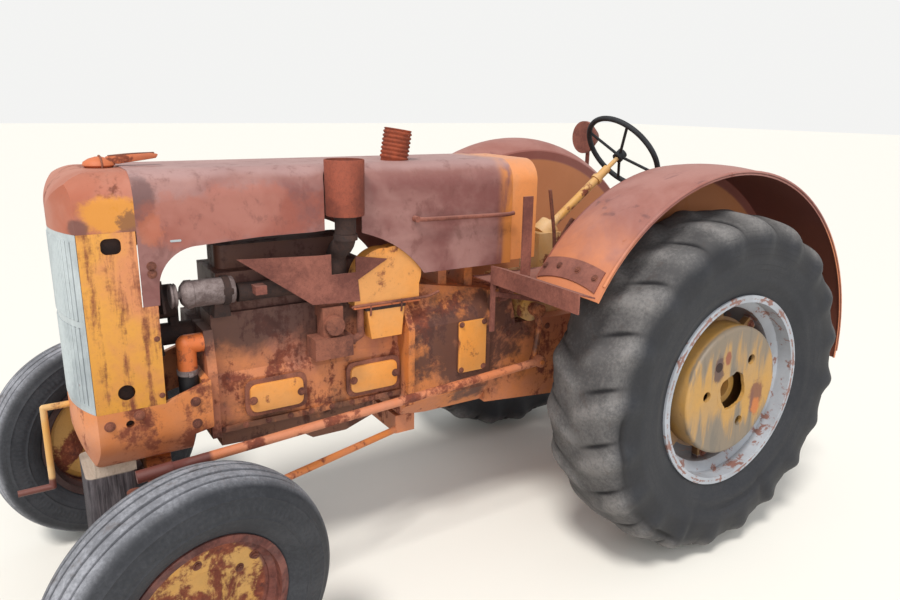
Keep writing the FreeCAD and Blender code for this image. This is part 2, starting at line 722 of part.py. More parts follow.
hood = Piece("hood")
low_edge = 1230
hood.pad("YZ", [shell_section(HALF, D.hood_top, low_edge, D.hood_corner)], "Dims.hood_back",
         "Dims.hood_front - Dims.hood_back")
inner = HALF - D.hood_sheet
hood.cut("YZ", [shell_section(inner, D.hood_top - D.hood_sheet, 1200, D.hood_corner - D.hood_sheet)],
         3000.0, 6000.0)
hood.cut("XZ", [[
    (1236, 1200), (1232, 1279), (1196, 1372, 1114, 1412), (893, 1425), (700, 1426),
    (568, 1420, 478, 1394), (340, 1318, 237, 1200),
]], -600.0, 1200.0)
hood.cut("XY", [("circle", 592, 250, 74)], 1800.0, 600.0)
node(hood)

tank = Piece("fuel_tank")
gap = D.hood_sheet + D.seat_gap
tank.pad("YZ", [shell_section(HALF - gap, D.hood_top - gap, 1240, D.hood_corner - gap)], -290.0, 420.0)
node(tank)

exhaust_parts = [
    Part.makeCylinder(68, 195, Vector(592, 250, 1480), Vector(0, 0, 1)),
    Part.makeCylinder(38, 170, Vector(592, 250, 1320), Vector(0, 0, 1)),
    tube([Vector(592, 150, 1300), Vector(592, 250, 1320)], 38),
    Part.makeSphere(38, Vector(592, 250, 1320)),
    block(556, 130.3, 1180, 960, 176, 1262),
    block(552, 130.3, 1230, 632, 180, 1336),
]
node(free_part("exhaust", fused(exhaust_parts)))

stack = Piece("intake_stack")
stack.pad("XY", [("circle", 325, 86, 52)], "Dims.hood_top + Dims.seat_gap", 110.0)
node(stack)

shield_outline = [(980, 1352), (690, 1338), (640, 1338), (640, 1262), (544, 1262), (544, 1322),
                  (412, 1300), (535, 1232), (528, 1149), (715, 1159)]
shield = Piece("heat_shield")
shield.pad("XZ", [shield_outline], 227.0, 3.0)
shield.pad("XZ", [rect(660, 1190, 700, 1230), rect(880, 1220, 920, 1250)], 224.5, 48.2)
node(shield)

generator = Piece("generator")
generator.pad("YZ", [("circle", 186, 1243, 48)], 985.0, 170.0)
generator.pad("YZ", [rect(130.3, 1150.3, 200, 1205)], 1000.0, 60.0)
generator.cut("YZ", [rect(-200, 1000, 150, 1150)], 1300.0, 400.0)
node(generator)

pipe_parts = [tube([Vector(1094.3, 150, 1060), Vector(1150, 150, 1060), Vector(1150, 150, 800),
                    Vector(1334.7, 150, 800)], 33)]
node(free_part("cooling_pipe", fused(pipe_parts)))

fan = Piece("fan")
fan.pad("YZ", [("circle", 0, 1060, 40)], 1094.3, 110.0)
fan.pad("YZ", [("circle", 0, 1180, 60)], 1150.0, 70.0)
fan.pad("YZ", [rect(-25, 1060, 25, 1180)], 1140.0, 30.0)
for angle in (20, 110, 200, 290):
    blade = turned([(30, -40), (190, -60), (190, 50), (30, 30)], angle)
    fan.pad("YZ", [[(a, b + 1180) for a, b in blade]], 1212.0, 8.0)
node(fan)

carb_parts = [
    Part.makeCylinder(36, 60, Vector(640, 195, 1075), Vector(0, 1, 0)),
    block(570, 165.3, 950, 720, 250, 1030),
    block(600, 170, 1030, 680, 230, 1140),
    block(600, 150.3, 1100, 680, 200, 1179.7),
    tube([Vector(560, 205, 990), Vector(520, 205, 1010), Vector(520, 205, 1127.7)], 14),
    Part.makeCylinder(14, 30, Vector(545, 205, 990), Vector(1, 0, 0)),
]
node(free_part("carburettor", fused(carb_parts)))

cleaner = Piece("air_cleaner")
cleaner.pad("XZ", [[(272, 1128), (549, 1128), (549, 1200), (520, 1300, 410, 1340),
                    (310, 1325, 272, 1190)]], 222.0, 56.0)
cleaner.pad("XZ", [[(336, 1120), (500, 1120), (480, 990), (350, 990)]], 222.0, 54.0)
cleaner.pad("XZ", [rect(340, 1118, 500, 1130)], 222.0, 54.0)
cleaner.pad("XZ", [rect(350, 1000, 480, 1060)], 180.0, 14.7)
node(cleaner)

# Fenders, platform, seat and controls.

FENDER_C = Vector(D.rear_axle_x, 0, REAR_Z + D.fender_rise)
span = D.fender_back_angle - D.fender_front_angle
tilt = (D.fender_back_angle + D.fender_front_angle) / 2 - 90
for side, hand in (("left", 1), ("right", -1)):
    fender = Piece("fender_" + side)
    crown = D.fender_crown_left if side == "left" else D.fender_crown_right
    r, a, b, t = D.fender_r, D.fender_in, D.fender_out, 4
    section = [(b, r - 12), (b, r), ((a + b) / 2, r + crown, a, r), (a, r - 40), (a + t, r - 40),
               (a + t, r - t), ((a + b) / 2, r + crown - t, b - t, r - t), (b - t, r - 12)]
    if hand < 0:
        section = mirrored(section)
    fender.spin([section], angle=span, middle=True)
    ends = [math.radians(v) for v in (D.fender_front_angle, D.fender_back_angle)]
    (fx, fz), (bx, bz) = [((r - 1) * math.cos(e), (r - 1) * math.sin(e)) for e in ends]
    plate = [(fx, fz), (0, r - 1, bx, bz), (-520, -40), (-170, 30), (-120, 110), (120, 110),
             (170, 60), (560, 320)]
    fender.pad("XZ", [turned(plate, -tilt)], a + t if hand > 0 else -a, 4.0)
    foot = [(-60, 69.6), (60, 69.6), (60, 200), (-60, 200)]
    fender.pad("XZ", [turned(foot, -tilt)], a if hand > 0 else -a + 12, 12.0)
    fender.place(FENDER_C, Rotation(Vector(0, 1, 0), -tilt))
    node(fender)

platform = Piece("platform")
for hand in (1, -1):
    platform.pad("XY", [rect(-600, hand * 190.3, -4, hand * (D.fender_in - D.seat_gap))], 1176.0, 5.0)
    leg = [(0, 1176), (0, 1250), (-76 if hand > 0 else -36, 1228 if hand > 0 else 1247),
           (-76 if hand > 0 else -36, 1222 if hand > 0 else 1241), (-6, 1243), (-6, 1176)]
    platform.pad("XZ", [leg], 840.0 if hand > 0 else -322.0, 518.0)
    gusset = [(190.3, 1178), (320, 1178), (320, 1160), (190.3, 1050)]
    platform.pad("YZ", [gusset if hand > 0 else mirrored(gusset)], -180.0, 40.0)
platform.pad("XY", [rect(-95, 446, -51, 454)], 1222.0, 312.0)
platform.pad("XY", [rect(-20, 322, 0, 332)], 975.0, 210.0)
platform.pad("XZ", [[(-20, 1140), (-20, 1120), (-330, 1050), (-330, 1070)]], 332.0, 10.0)
node(platform)

seat = Piece("seat")
seat.pad("XY", [round_rect(-1600, -220, -1230, 220, 120)], 1290.0, 60.0)
seat.pad("XZ", [[(-1430, 1290), (-1380, 1290), (-950, 990), (-950, GEAR_TOP + D.seat_gap),
                 (-1010, GEAR_TOP + D.seat_gap)]], 35.0, 70.0)
node(seat)

lever_parts = [
    tube([Vector(-480, 70.3, 1150), Vector(-480, 150, 1150), Vector(-465, 150, 1320),
          Vector(-430, 150, 1510)], 8),
    tube([Vector(-640, -60, GEAR_TOP + D.seat_gap), Vector(-640, -60, 1000), Vector(-700, -60, 1250),
          Vector(-760, -60, 1330)], 12),
]
node(free_part("levers", Part.makeCompound(lever_parts)))

lamp = Piece("headlamp")
lamp.spin([[(0, 0), (0, 92), (-20, 92), (-90, 40), (-90, 0)]])
lamp.pad("XY", [("circle", 0, -45, 12)], -171.8, 160.0)
lamp.place(Vector(-1335, -655, 1690), Rotation(Vector(0, 0, 1), -90))
node(lamp)

# Front axle, timber and crank.

axle_parts = []


def beam_end(x0, x1, y, z0, z1):
    return [Vector(x0, y, z0), Vector(x1, y, z0), Vector(x1, y, z1), Vector(x0, y, z1)]


axle_parts.append(block(1215, -60, 560, 1300, 60, 630))
for hand in (1, -1):
    axle_parts.append(loft([beam_end(1215, 1300, hand * 58, 560, 630),
                            beam_end(1298, 1360, hand * 530, 572, 620)]))
    axle_parts.append(Part.makeCylinder(40, 138, Vector(D.kingpin_x, hand * D.kingpin_y, 500)))
    axle_parts.append(tube([Vector(1300, hand * 455, 590), Vector(1230, hand * 430, 557),
                            Vector(279, hand * 100, 531)], 14))
axle_parts.append(block(1225, -40, 620, 1290, 40, 671.7))
axle_parts.append(block(240, -130, 520, 330, 130, 599.7))
axle = fused(axle_parts)
for hand in (1, -1):
    axle = axle.cut(Part.makeCylinder(D.kingpin_r + D.running, 400,
                                      Vector(D.kingpin_x, hand * D.kingpin_y, 400)))
node(free_part("front_axle", axle))

timber = Piece("timber_prop")
timber.pad("XY", [round_rect(1340, -110, 1500, 120, 24)], 0.0, 626.0)
timber.pad("XY", [rect(1340, -240, 1470, 120)], 626.0, 45.7)
node(timber)

high, low = D.crank_z, D.crank_z - 290
crank_path = [Vector(1486, 0, high), Vector(1592, 0, high), Vector(1594, 0, low), Vector(1700, 0, low)]
node(free_part("crank", tube(crank_path, D.crank_r)))

shift = Placement(Vector(D.frame_shift, 0, 0), Rotation())
for made in NODES:
    made.Placement = shift.multiply(made.Placement)
doc.recompute()

os.makedirs("parts", exist_ok=True)
for old in os.listdir("parts"):
    if old.endswith(".step"):
        os.remove(os.path.join("parts", old))
problems = []
for obj in doc.Objects:
    if any(word in ("Invalid", "Error") for word in obj.State):
        problems.append("%s %s" % (obj.Label, obj.State))
for made in NODES:
    shape = made.Shape
    if shape.isNull() or not shape.isValid():
        problems.append("bad shape " + made.Label)
    print("%-20s solids %2d faces %4d volume %.4f" % (
        made.Label, len(shape.Solids), len(shape.Faces), shape.Volume / 1e9))
if problems:
    raise RuntimeError("\n".join(problems))
for made in NODES:
    made.Shape.exportStep(os.path.join("parts", made.Label + ".step"))
print("nodes", len(NODES))
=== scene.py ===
import json
import math

import bmesh
import bpy
import numpy as np
from bpy.props import FloatProperty, FloatVectorProperty, IntProperty, PointerProperty
from mathutils import Matrix, Vector
from mathutils.bvhtree import BVHTree

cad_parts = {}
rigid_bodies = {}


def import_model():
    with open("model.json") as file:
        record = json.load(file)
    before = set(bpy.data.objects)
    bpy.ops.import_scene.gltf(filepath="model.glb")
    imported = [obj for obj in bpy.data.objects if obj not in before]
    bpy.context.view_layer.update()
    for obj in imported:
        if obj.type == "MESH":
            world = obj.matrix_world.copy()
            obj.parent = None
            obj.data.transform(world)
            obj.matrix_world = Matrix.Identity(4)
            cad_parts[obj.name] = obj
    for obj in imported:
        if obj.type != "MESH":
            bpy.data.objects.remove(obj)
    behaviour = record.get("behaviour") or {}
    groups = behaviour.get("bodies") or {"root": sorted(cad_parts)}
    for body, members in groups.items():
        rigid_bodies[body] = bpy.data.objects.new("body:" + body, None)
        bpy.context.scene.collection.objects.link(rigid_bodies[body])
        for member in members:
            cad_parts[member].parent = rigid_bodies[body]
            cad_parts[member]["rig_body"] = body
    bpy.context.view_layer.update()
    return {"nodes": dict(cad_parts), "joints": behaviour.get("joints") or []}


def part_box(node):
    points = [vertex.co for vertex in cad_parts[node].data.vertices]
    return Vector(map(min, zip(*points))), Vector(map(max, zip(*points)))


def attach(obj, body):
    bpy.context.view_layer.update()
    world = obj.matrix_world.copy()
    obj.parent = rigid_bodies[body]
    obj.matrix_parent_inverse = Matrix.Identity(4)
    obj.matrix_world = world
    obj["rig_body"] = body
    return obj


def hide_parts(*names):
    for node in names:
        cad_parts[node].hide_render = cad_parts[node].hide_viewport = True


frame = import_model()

# Looks of the farm tractor: sun-bleached maroon hood, orange castings, yellow panels gone to rust,
# worn tyres and a cracked timber stump.  Metres, in the row's frame: +X forward, +Z up.

bl_info = {
    "name": "Weathered farm tractor",
    "version": (1, 0, 0),
    "blender": (4, 5, 0),
    "location": "3D View > Sidebar > Tractor",
    "description": "Dresses the tractor's frame: tyres, sheet metal, castings and timber",
    "category": "Object",
}

NODES = frame["nodes"]
JOINTS = {joint["name"]: joint for joint in frame["joints"]}
SEED = 7
SIDES = (("left", 1), ("right", -1))
UP, FORWARD = (0, 0, 1), (1, 0, 0)
DRAWING_ZERO = 29           # mm from the drawing's zero to the frame's
BESIDE, ABOVE = 600, 2400   # mm, starts of rays that meet the engine and the fenders
WHEEL_CLEAR = 0.6           # m, start of rays outside a wheel
FINISHES = {}
TREES = {}


def spot(x, y, z):
    """Place in metres from the drawing's millimetres."""
    return Vector(((x - DRAWING_ZERO) / 1000, y / 1000, z / 1000))


def tone(red, green, blue):
    """Screen colour, 0 to 255, as the linear colour that a shader takes."""
    linear = []
    for value in (red, green, blue):
        share = value / 255
        linear.append(share / 12.92 if share <= 0.04045 else ((share + 0.055) / 1.055) ** 2.4)
    return (*linear, 1.0)


def colour_prop(label, note, *screen):
    return FloatVectorProperty(name=label, description=note, subtype="COLOR", size=4, min=0, max=1,
                               default=tone(*screen))


def length_prop(label, note, default):
    return FloatProperty(name=label, description=note, default=default, unit="LENGTH")


# Shader maths

def feed(tree, socket, value):
    """Links a signal to a socket, or sets the socket's own value."""
    if isinstance(value, Signal):
        tree.links.new(value.socket, socket)
    elif value is not None:
        socket.default_value = value


class Signal:
    """One socket of a node tree, which Python's operators can work on."""

    def __init__(self, tree, socket):
        self.tree = tree
        self.socket = socket

    def maths(self, operation, first, second=None):
        made = self.tree.nodes.new("ShaderNodeMath")
        made.operation = operation
        feed(self.tree, made.inputs[0], first)
        feed(self.tree, made.inputs[1], second)
        return Signal(self.tree, made.outputs[0])

    def __add__(self, other):
        return self.maths("ADD", self, other)

    def __sub__(self, other):
        return self.maths("SUBTRACT", self, other)

    def __rsub__(self, other):
        return self.maths("SUBTRACT", other, self)

    def __mul__(self, other):
        return self.maths("MULTIPLY", self, other)

    def most(self, other):
        return self.maths("MAXIMUM", self, other)

    def size(self):
        return self.maths("ABSOLUTE", self)

    __radd__ = __add__
    __rmul__ = __mul__


class Nodes:
    """Adds nodes to one tree."""

    def __init__(self, tree):
        self.tree = tree

    def add(self, kind, settings=None, inputs=None, out=0):
        """A node of any kind: its settings first, then the values or links of its sockets."""
        made = self.tree.nodes.new(kind)
        for key, value in (settings or {}).items():
            if key == "stops":
                ramp = made.color_ramp
                while len(ramp.elements) < len(value):
                    ramp.elements.new(0.5)
                for element, (position, colour) in zip(ramp.elements, value):
                    element.position = position
                    element.color = colour
            else:
                setattr(made, key, value)
        for key, value in (inputs or {}).items():
            for single in value if isinstance(value, list) else [value]:
                feed(self.tree, made.inputs[key], single)
        return Signal(self.tree, made.outputs[out])

    def vector(self, operation, first, second=None, out=0):
        return self.add("ShaderNodeVectorMath", {"operation": operation}, {0: first, 1: second}, out)


class Finish(Nodes):
    """A procedural material, built up on one principled shader and filed under its name."""

    def __init__(self, name, specular=0.5):
        self.material = bpy.data.materials.new(name)
        self.material.use_nodes = True
        super().__init__(self.material.node_tree)
        self.tree.nodes.clear()
        output = self.tree.nodes.new("ShaderNodeOutputMaterial")
        self.shader = self.tree.nodes.new("ShaderNodeBsdfPrincipled")
        self.tree.links.new(self.shader.outputs[0], output.inputs[0])
        self.set("Specular IOR Level", specular)
        self.place = self.add("ShaderNodeTexCoord", out="Object")
        self.bumps = None
        self.colour = None
        FINISHES[name] = self

    def stretched(self, scale=(1, 1, 1), shift=(0, 0, 0)):
        return self.add("ShaderNodeMapping",
                        inputs={"Vector": self.place, "Scale": scale, "Location": shift})

    def noise(self, scale, detail=5, rough=0.6, bend=0, stretch=(1, 1, 1), shift=(0, 0, 0)):
        return self.add("ShaderNodeTexNoise", inputs={
            "Vector": self.stretched(stretch, shift), "Scale": scale, "Detail": detail,
            "Roughness": rough, "Distortion": bend})

    def cells(self, scale, shift):
        return self.add("ShaderNodeTexVoronoi",
                        inputs={"Vector": self.stretched(shift=shift), "Scale": scale})

    def step(self, value, low, high):
        """0 below low, 1 above high, smooth between."""
        return self.add("ShaderNodeMapRange", {"interpolation_type": "SMOOTHSTEP"},
                        {"Value": value, "From Min": low, "From Max": high})

    def axis(self, letter):
        """Height or place along one axis, in metres."""
        return self.add("ShaderNodeSeparateXYZ", inputs={0: self.place}, out="XYZ".index(letter))

    def facing(self):
        return self.add("ShaderNodeNewGeometry", out="Normal")

    def upward(self):
        """1 on what faces up, -1 on what faces down."""
        return self.add("ShaderNodeSeparateXYZ", inputs={0: self.facing()}, out=2)

    def blend(self, share, first, second):
        return self.add("ShaderNodeMix", {"data_type": "RGBA"}, {0: share, 6: first, 7: second}, 2)

    def drawn(self, name):
        """A value that the piece's own mesh carries."""
        return self.add("ShaderNodeAttribute", {"attribute_name": name}, out="Fac")

    def from_axle(self, joint):
        """Distance from a wheel's axis, and distance along it from the tyre's middle, outwards."""
        centre, out, _, _ = wheel_frame(joint)
        arm = self.vector("SUBTRACT", self.place, centre)
        radius = self.vector("LENGTH", self.vector("CROSS_PRODUCT", arm, out), out=1)
        return radius, self.vector("DOT_PRODUCT", arm, out, out=1)

    def patch(self, middle, reach, fray, grain):
        """1 inside a ragged oval spot, 0 outside."""
        arm = self.vector("DIVIDE", self.vector("SUBTRACT", self.place, middle), reach)
        away = self.vector("LENGTH", arm, out=1) + (self.noise(grain, 5, 0.7) - 0.5) * fray * 3
        return 1 - self.step(away, 0.7, 1.15)

    def cover(self, share, colour):
        """Lays another colour over what is there."""
        self.colour = colour if self.colour is None else self.blend(share, self.colour, colour)
        self.set("Base Color", self.colour)

    def spots(self, *rows):
        """Ragged spots: place in drawing millimetres, reach in metres, fray, grain, share, tone."""
        for place, reach, fray, grain, share, colour in rows:
            self.cover(self.patch(spot(*place), reach, fray, grain) * share, tone(*colour))

    def set(self, socket, value):
        feed(self.tree, self.shader.inputs[socket], value)

    def relief(self, height, depth, distance):
        """Adds bumps; calls stack."""
        self.bumps = self.add("ShaderNodeBump", inputs={
            "Height": height, "Strength": depth, "Distance": distance, "Normal": self.bumps})
        self.set("Normal", self.bumps)


def bright(colour, factor):
    return (*(min(1.0, channel * factor) for channel in colour[:3]), 1.0)


def rust_colours(finish, shift):
    """Dark to orange iron oxide, uneven at two scales."""
    grain = finish.noise(38, 6, 0.7, shift=(shift, 3.1, 0.7))
    return finish.add("ShaderNodeValToRGB", {"stops": [
        (0.30, tone(62, 34, 30)), (0.45, tone(104, 56, 44)), (0.56, tone(138, 76, 54)),
        (0.68, tone(172, 100, 66)),
    ]}, {0: grain})


def aged_paint(name, paint, worn, cover, patch, streak, speck, gloss, lift=None, dust=0.2, shift=0,
               ragged=0.05):
    """Old paint over rust.  cover is the share of paint left, worn the faded tone of it; streak runs
    down the sides, speck is pitting; lift is a tone for dust, bleaching and a painted sky highlight on
    what faces up."""
    finish = Finish(name)
    broad = finish.noise(patch, 8, 0.62, 0.25, shift=(shift, shift * 0.7, 1.3))
    drips = finish.noise(9, 6, 0.65, 0.1, (3.2, 3.2, 0.34), (shift, 2.2, 0))
    fine = finish.noise(70, 5, 0.7, shift=(0, shift, 4))
    field = broad * (1 - streak) + drips * streak + (fine - 0.5) * 0.22
    left = 0.5 + (0.5 - cover) * 0.42
    painted = finish.step(field, left - ragged, left + ragged)
    rim = finish.step(field, left - ragged * 2.6, left - ragged * 0.6) * (1 - painted)
    fade = finish.noise(3.1, 4, 0.6, 0.4, shift=(shift, 0, 5))
    top = finish.blend(finish.step(fade, 0.36, 0.64), paint, worn)
    mottle = finish.noise(21, 5, 0.7, 0.3, shift=(2, 0, shift))
    top = finish.blend((mottle - 0.5).size() * 1.5, top, bright(worn, 0.72))
    colour = finish.blend(painted, rust_colours(finish, shift), top)
    colour = finish.blend(rim * 0.75, colour, tone(112, 52, 34))
    pits = finish.cells(150, (shift, 0, 0))
    pitted = (1 - finish.step(pits, 0.10, 0.24)) * finish.step(fine, 0.60 - speck * 0.16, 0.70)
    colour = finish.blend(pitted * 0.85, colour, tone(70, 36, 28))
    if lift is not None:
        # paler on what faces up: dust plus a painted sky highlight
        dust_and_sky_highlight = finish.step(finish.upward(), 0.15, 0.95) * (0.55 + (mottle - 0.5) * 1.2)
        colour = finish.blend(dust_and_sky_highlight * dust * 3, colour, lift)
    finish.cover(1, colour)
    finish.set("Roughness", gloss + (1 - painted) * (0.93 - gloss))
    finish.relief(field * 2 + fine * 0.5, 0.35, 0.0016)
    finish.relief(finish.noise(340, 3, 0.7), 0.22, 0.0006)
    return finish


def rusted(name, dark, light, shift, gloss=0.86, scale=1, dust=None):
    """Bare iron that has rusted all over."""
    finish = Finish(name)
    broad = finish.noise(6 * scale, 7, 0.68, 0.4, shift=(shift, 0, 1))
    fine = finish.noise(95 * scale, 5, 0.72, shift=(0, shift, 0))
    share = finish.step(broad * 0.7 + fine * 0.3, 0.36, 0.64)
    colour = finish.blend(share, dark, light)
    pits = finish.cells(120 * scale, (shift, 1, 0))
    colour = finish.blend((1 - finish.step(pits, 0.08, 0.26)) * 0.55, colour, bright(dark, 0.6))
    if dust is not None:
        colour = finish.blend(finish.step(finish.upward(), 0.3, 1) * 0.6, colour, dust)
    finish.cover(1, colour)
    finish.set("Roughness", gloss + (fine - 0.5) * 0.2)
    finish.relief(broad + fine * 0.6, 0.4, 0.0018)
    return finish


def worn_rubber(name, body, dust, joint=None):
    """Old rubber: dust on the tread, broken rings of fine cracks round the sides."""
    finish = Finish(name, specular=0.4)
    broad = finish.noise(4.2, 7, 0.66, 0.4)
    fine = finish.noise(85, 5, 0.75)
    share = finish.step(broad * 0.6 + fine * 0.4, 0.40, 0.64)
    finish.relief(fine + broad * 0.5, 0.3, 0.0015)
    if joint is None:
        finish.cover(1, finish.blend(share * 0.5, body, dust))
        finish.set("Roughness", 0.7)
        return finish
    tread, groove = finish.drawn("tread"), finish.drawn("groove")
    finish.cover(1, finish.blend((share * 0.55 + 0.45) * tread + share * 0.07, body, dust))
    stain = finish.noise(11, 5, 0.7, 0.5, shift=(3, 0, 0))
    finish.cover(finish.step(stain, 0.56, 0.68) * tread * 0.5, tone(88, 78, 74))
    radius, _ = finish.from_axle(joint)
    rings = finish.add("ShaderNodeTexNoise", {"noise_dimensions": "1D"},
                       {"W": radius + broad * 0.012, "Scale": 46, "Detail": 3, "Roughness": 0.6})
    split = (1 - finish.step((rings - 0.5).size(), 0.002, 0.012)) * finish.step(broad, 0.5, 0.6)
    finish.cover(split * (1 - tread) * 0.7, tone(22, 22, 26))
    # painted shade in the grooves, slots, valleys and the gap under the tread
    finish.cover(groove, tone(24, 23, 26))
    finish.set("Roughness", 0.62 + tread * 0.28)
    finish.relief(1 - split, 0.3, 0.002)
    return finish


def weathered_timber(name, light, dark):
    """Grey split timber with its grain upright."""
    finish = Finish(name, specular=0.3)
    fibre = finish.noise(3.2, 9, 0.7, 0.6, (26, 26, 1.6))
    broad = finish.noise(4.5, 5, 0.6, 0.5)
    colour = finish.blend(finish.step(fibre * 0.75 + broad * 0.25, 0.38, 0.66), dark, light)
    splits = 1 - finish.step(fibre, 0.30, 0.40)
    finish.cover(1, finish.blend(splits * 0.85, colour, tone(38, 32, 32)))
    finish.set("Roughness", 0.92)
    finish.relief(fibre, 0.8, 0.006)
    return finish


class TractorColours(bpy.types.PropertyGroup):
    hood: colour_prop("Hood", "Oxidised maroon of the hood", 118, 70, 66)
    hood_worn: colour_prop("Hood, worn", "Bleached tone of the hood", 152, 110, 104)
    panel: colour_prop("Panels", "Yellow paint of the side panels", 212, 148, 58)
    panel_worn: colour_prop("Panels, worn", "Faded yellow", 202, 128, 84)
    casting: colour_prop("Castings", "Orange paint of the castings", 202, 120, 58)
    casting_worn: colour_prop("Castings, worn", "Faded orange", 184, 116, 84)
    fender: colour_prop("Fenders", "Oxide of the fenders", 136, 80, 70)
    fender_worn: colour_prop("Fenders, worn", "Bleached tone of the fenders", 156, 108, 100)
    grille: colour_prop("Grille", "Pale grey of the grille", 186, 194, 196)
    rubber: colour_prop("Rubber", "Black of the tyres", 32, 34, 40)
    rubber_dust: colour_prop("Rubber, dusty", "Grey bloom on the tyres", 122, 119, 118)


class TractorSizes(bpy.types.PropertyGroup):
    lugs: IntProperty(name="Lugs", description="Lugs on each side of a rear tyre", default=20, min=8)
    lug_height: length_prop("Lug height", "Height that wear has left on the lugs", 0.021)
    bolt_head: length_prop("Bolt head", "Radius of a hexagon head", 0.011)
    fin_width: length_prop("Grille fin", "Width of one upright fin", 0.0036)
    floor_reach: length_prop("Floor", "Half width of the floor", 60)


def settings():
    return bpy.context.scene.tractor_colours, bpy.context.scene.tractor_sizes


# Mesh building

def new_object(name, data):
    """An object of the scene that carries this data."""
    made = bpy.data.objects.new(name, data)
    bpy.context.scene.collection.objects.link(made)
    return made


def mesh_piece(name, points, faces, finish, smooth=True):
    """A piece whose place is in its mesh."""
    mesh = bpy.data.meshes.new(name)
    mesh.from_pydata([tuple(p) for p in points], [], faces)
    mesh.validate()
    mesh.materials.append(finish.material)
    if smooth:
        mesh.shade_smooth()
    return new_object(name, mesh)


def face_out(made):
    """Turns all faces outwards."""
    work = bmesh.new()
    work.from_mesh(made.data)
    bmesh.ops.remove_doubles(work, verts=work.verts, dist=1e-6)
    bmesh.ops.recalc_face_normals(work, faces=work.faces)
    work.to_mesh(made.data)
    work.free()
    return made


def creased(made, degrees):
    """Keeps edges sharp where faces turn by more than this."""
    made.data.set_sharp_from_angle(angle=math.radians(degrees))
    return made


def ring_faces(rows, columns, closed):
    """Quads over rings of points; closed joins the last ring to the first."""
    faces = []
    for i in range(rows if closed else rows - 1):
        a, b = i * columns, ((i + 1) % rows) * columns
        for j in range(columns):
            k = (j + 1) % columns
            faces.append((a + j, b + j, b + k, a + k))
    return faces


def tube(name, points, rows, finish, crease):
    """Closed piece from rings of points, with a face on each end."""
    columns = len(points) // rows
    faces = ring_faces(rows, columns, False)
    faces += [tuple(range(columns)), tuple(range(len(points) - columns, len(points)))]
    return creased(face_out(mesh_piece(name, points, faces, finish)), crease)


def adopt(made, node, slot, *replaced):
    """Hangs a finished piece on the body of a CAD piece."""
    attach(made, body_of(node))
    if replaced:
        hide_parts(*replaced)


def body_of(node):
    return NODES[node]["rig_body"]


def wheel_frame(joint):
    """Centre and outward axis of a wheel, then forward and up across the axis."""
    centre = Vector(JOINTS[joint]["pos_m"])
    out = Vector(JOINTS[joint]["axis"]).normalized()
    if out.y * centre.y < 0:
        out.negate()
    ahead = (Vector(FORWARD) - out * out.x).normalized()
    up = ahead.cross(out)
    return centre, out, ahead, up if up.z > 0 else -up


def spoke(first, second, angle):
    """Direction at an angle from the first axis towards the second."""
    return first * math.cos(angle) + second * math.sin(angle)


def along_line(points, number):
    """Even points on a broken line, and each one's share of its length."""
    points = np.array(points, float)
    reach = np.concatenate([[0], np.cumsum(np.hypot(*np.diff(points, axis=0).T))])
    share = np.linspace(0, 1, number)
    return np.stack([np.interp(share * reach[-1], reach, column) for column in points.T], 1), share


# Finishes of the CAD pieces

def rear_wheel_finish(side):
    """Yellow centre with grey streaks and a rust blotch, silver rim with rust on its edges."""
    joint = "rear_%s_spin" % side
    centre, out, ahead, up = wheel_frame(joint)
    finish = aged_paint("rear_wheel_" + side, tone(184, 138, 66), tone(170, 134, 86), 0.9, 6, 0.35,
                        0.3, 0.5, shift=8, ragged=0.06)
    radius, along = finish.from_axle(joint)
    streaks = finish.noise(6, 5, 0.6, 0.3, (3.4, 3.4, 0.5), (4, 0, 1))
    height = (finish.axis("Z") - centre.z).size()
    face = finish.step(along, 0.14, 0.155)
    grey = finish.step(height * 3.4 + (streaks - 0.5) * 2.4, 0.16, 0.62)
    finish.cover(grey * face * 0.85, tone(112, 106, 98))
    finish.cover(finish.step(streaks, 0.56, 0.66) * face * 0.5, tone(96, 92, 86))
    for forward, lift, wide, tall, colour in (
            (-0.165, -0.06, 0.045, 0.085, tone(112, 62, 48)),
            (-0.17, -0.10, 0.03, 0.04, tone(190, 110, 50)),
            (0.10, 0.11, 0.03, 0.06, tone(74, 50, 52)),
            (0.05, 0.15, 0.02, 0.03, tone(128, 62, 44))):
        middle = centre + ahead * forward + up * lift + out * 0.17
        finish.cover(finish.patch(middle, (wide, 0.12, tall), 0.5, 24) * 0.85, colour)
    rim = finish.step(radius, 0.330, 0.338)
    # darker on the inner side of the wheel: dust plus painted shade
    inner_dust_and_shade = (1 - finish.step(along, 0.03, 0.11)) * (1 - rim)
    finish.cover(inner_dust_and_shade * 0.8, tone(78, 46, 38))
    worn = finish.noise(5, 5, 0.6, 0.2, shift=(9, 2, 0))
    finish.cover(rim, finish.blend(worn, tone(124, 124, 130), tone(190, 197, 206)))
    # inner part of the rim: rust plus painted shade
    finish.cover(rim * (1 - finish.step(along, 0.05, 0.115)) * 0.9,
                 finish.blend(worn, tone(66, 36, 32), tone(96, 82, 84)))
    flakes = finish.noise(17, 6, 0.72, 0.4, shift=(1, 5, 2))
    lines = finish.step((radius - 0.392).size(), 0.0025, 0.006)
    finish.cover(rim * finish.step(flakes + (1 - lines) * 0.1, 0.54, 0.60) * 0.85,
                 tone(126, 76, 58))


def front_wheel_finish(side):
    """Maroon rim, dish half yellow and half rust, rusty hub."""
    finish = aged_paint("front_wheel_" + side, tone(212, 150, 62), tone(196, 150, 84), 0.56, 8, 0.1,
                        0.6, 0.6, shift=9)
    radius, along = finish.from_axle("front_%s_spin" % side)
    mottle = finish.noise(13, 6, 0.7, 0.3, shift=(0, 4, 1))
    finish.cover(finish.step(radius, 0.205, 0.216), finish.blend(
        finish.step(mottle, 0.4, 0.66), tone(74, 38, 34), tone(120, 70, 60)))
    finish.cover(1 - finish.step(along, -0.05, 0), tone(52, 32, 30))
    finish.cover((1 - finish.step(radius, 0.042, 0.05)) * finish.step(along, 0.05, 0.07),
                 finish.blend(mottle, tone(86, 48, 36), tone(134, 78, 54)))


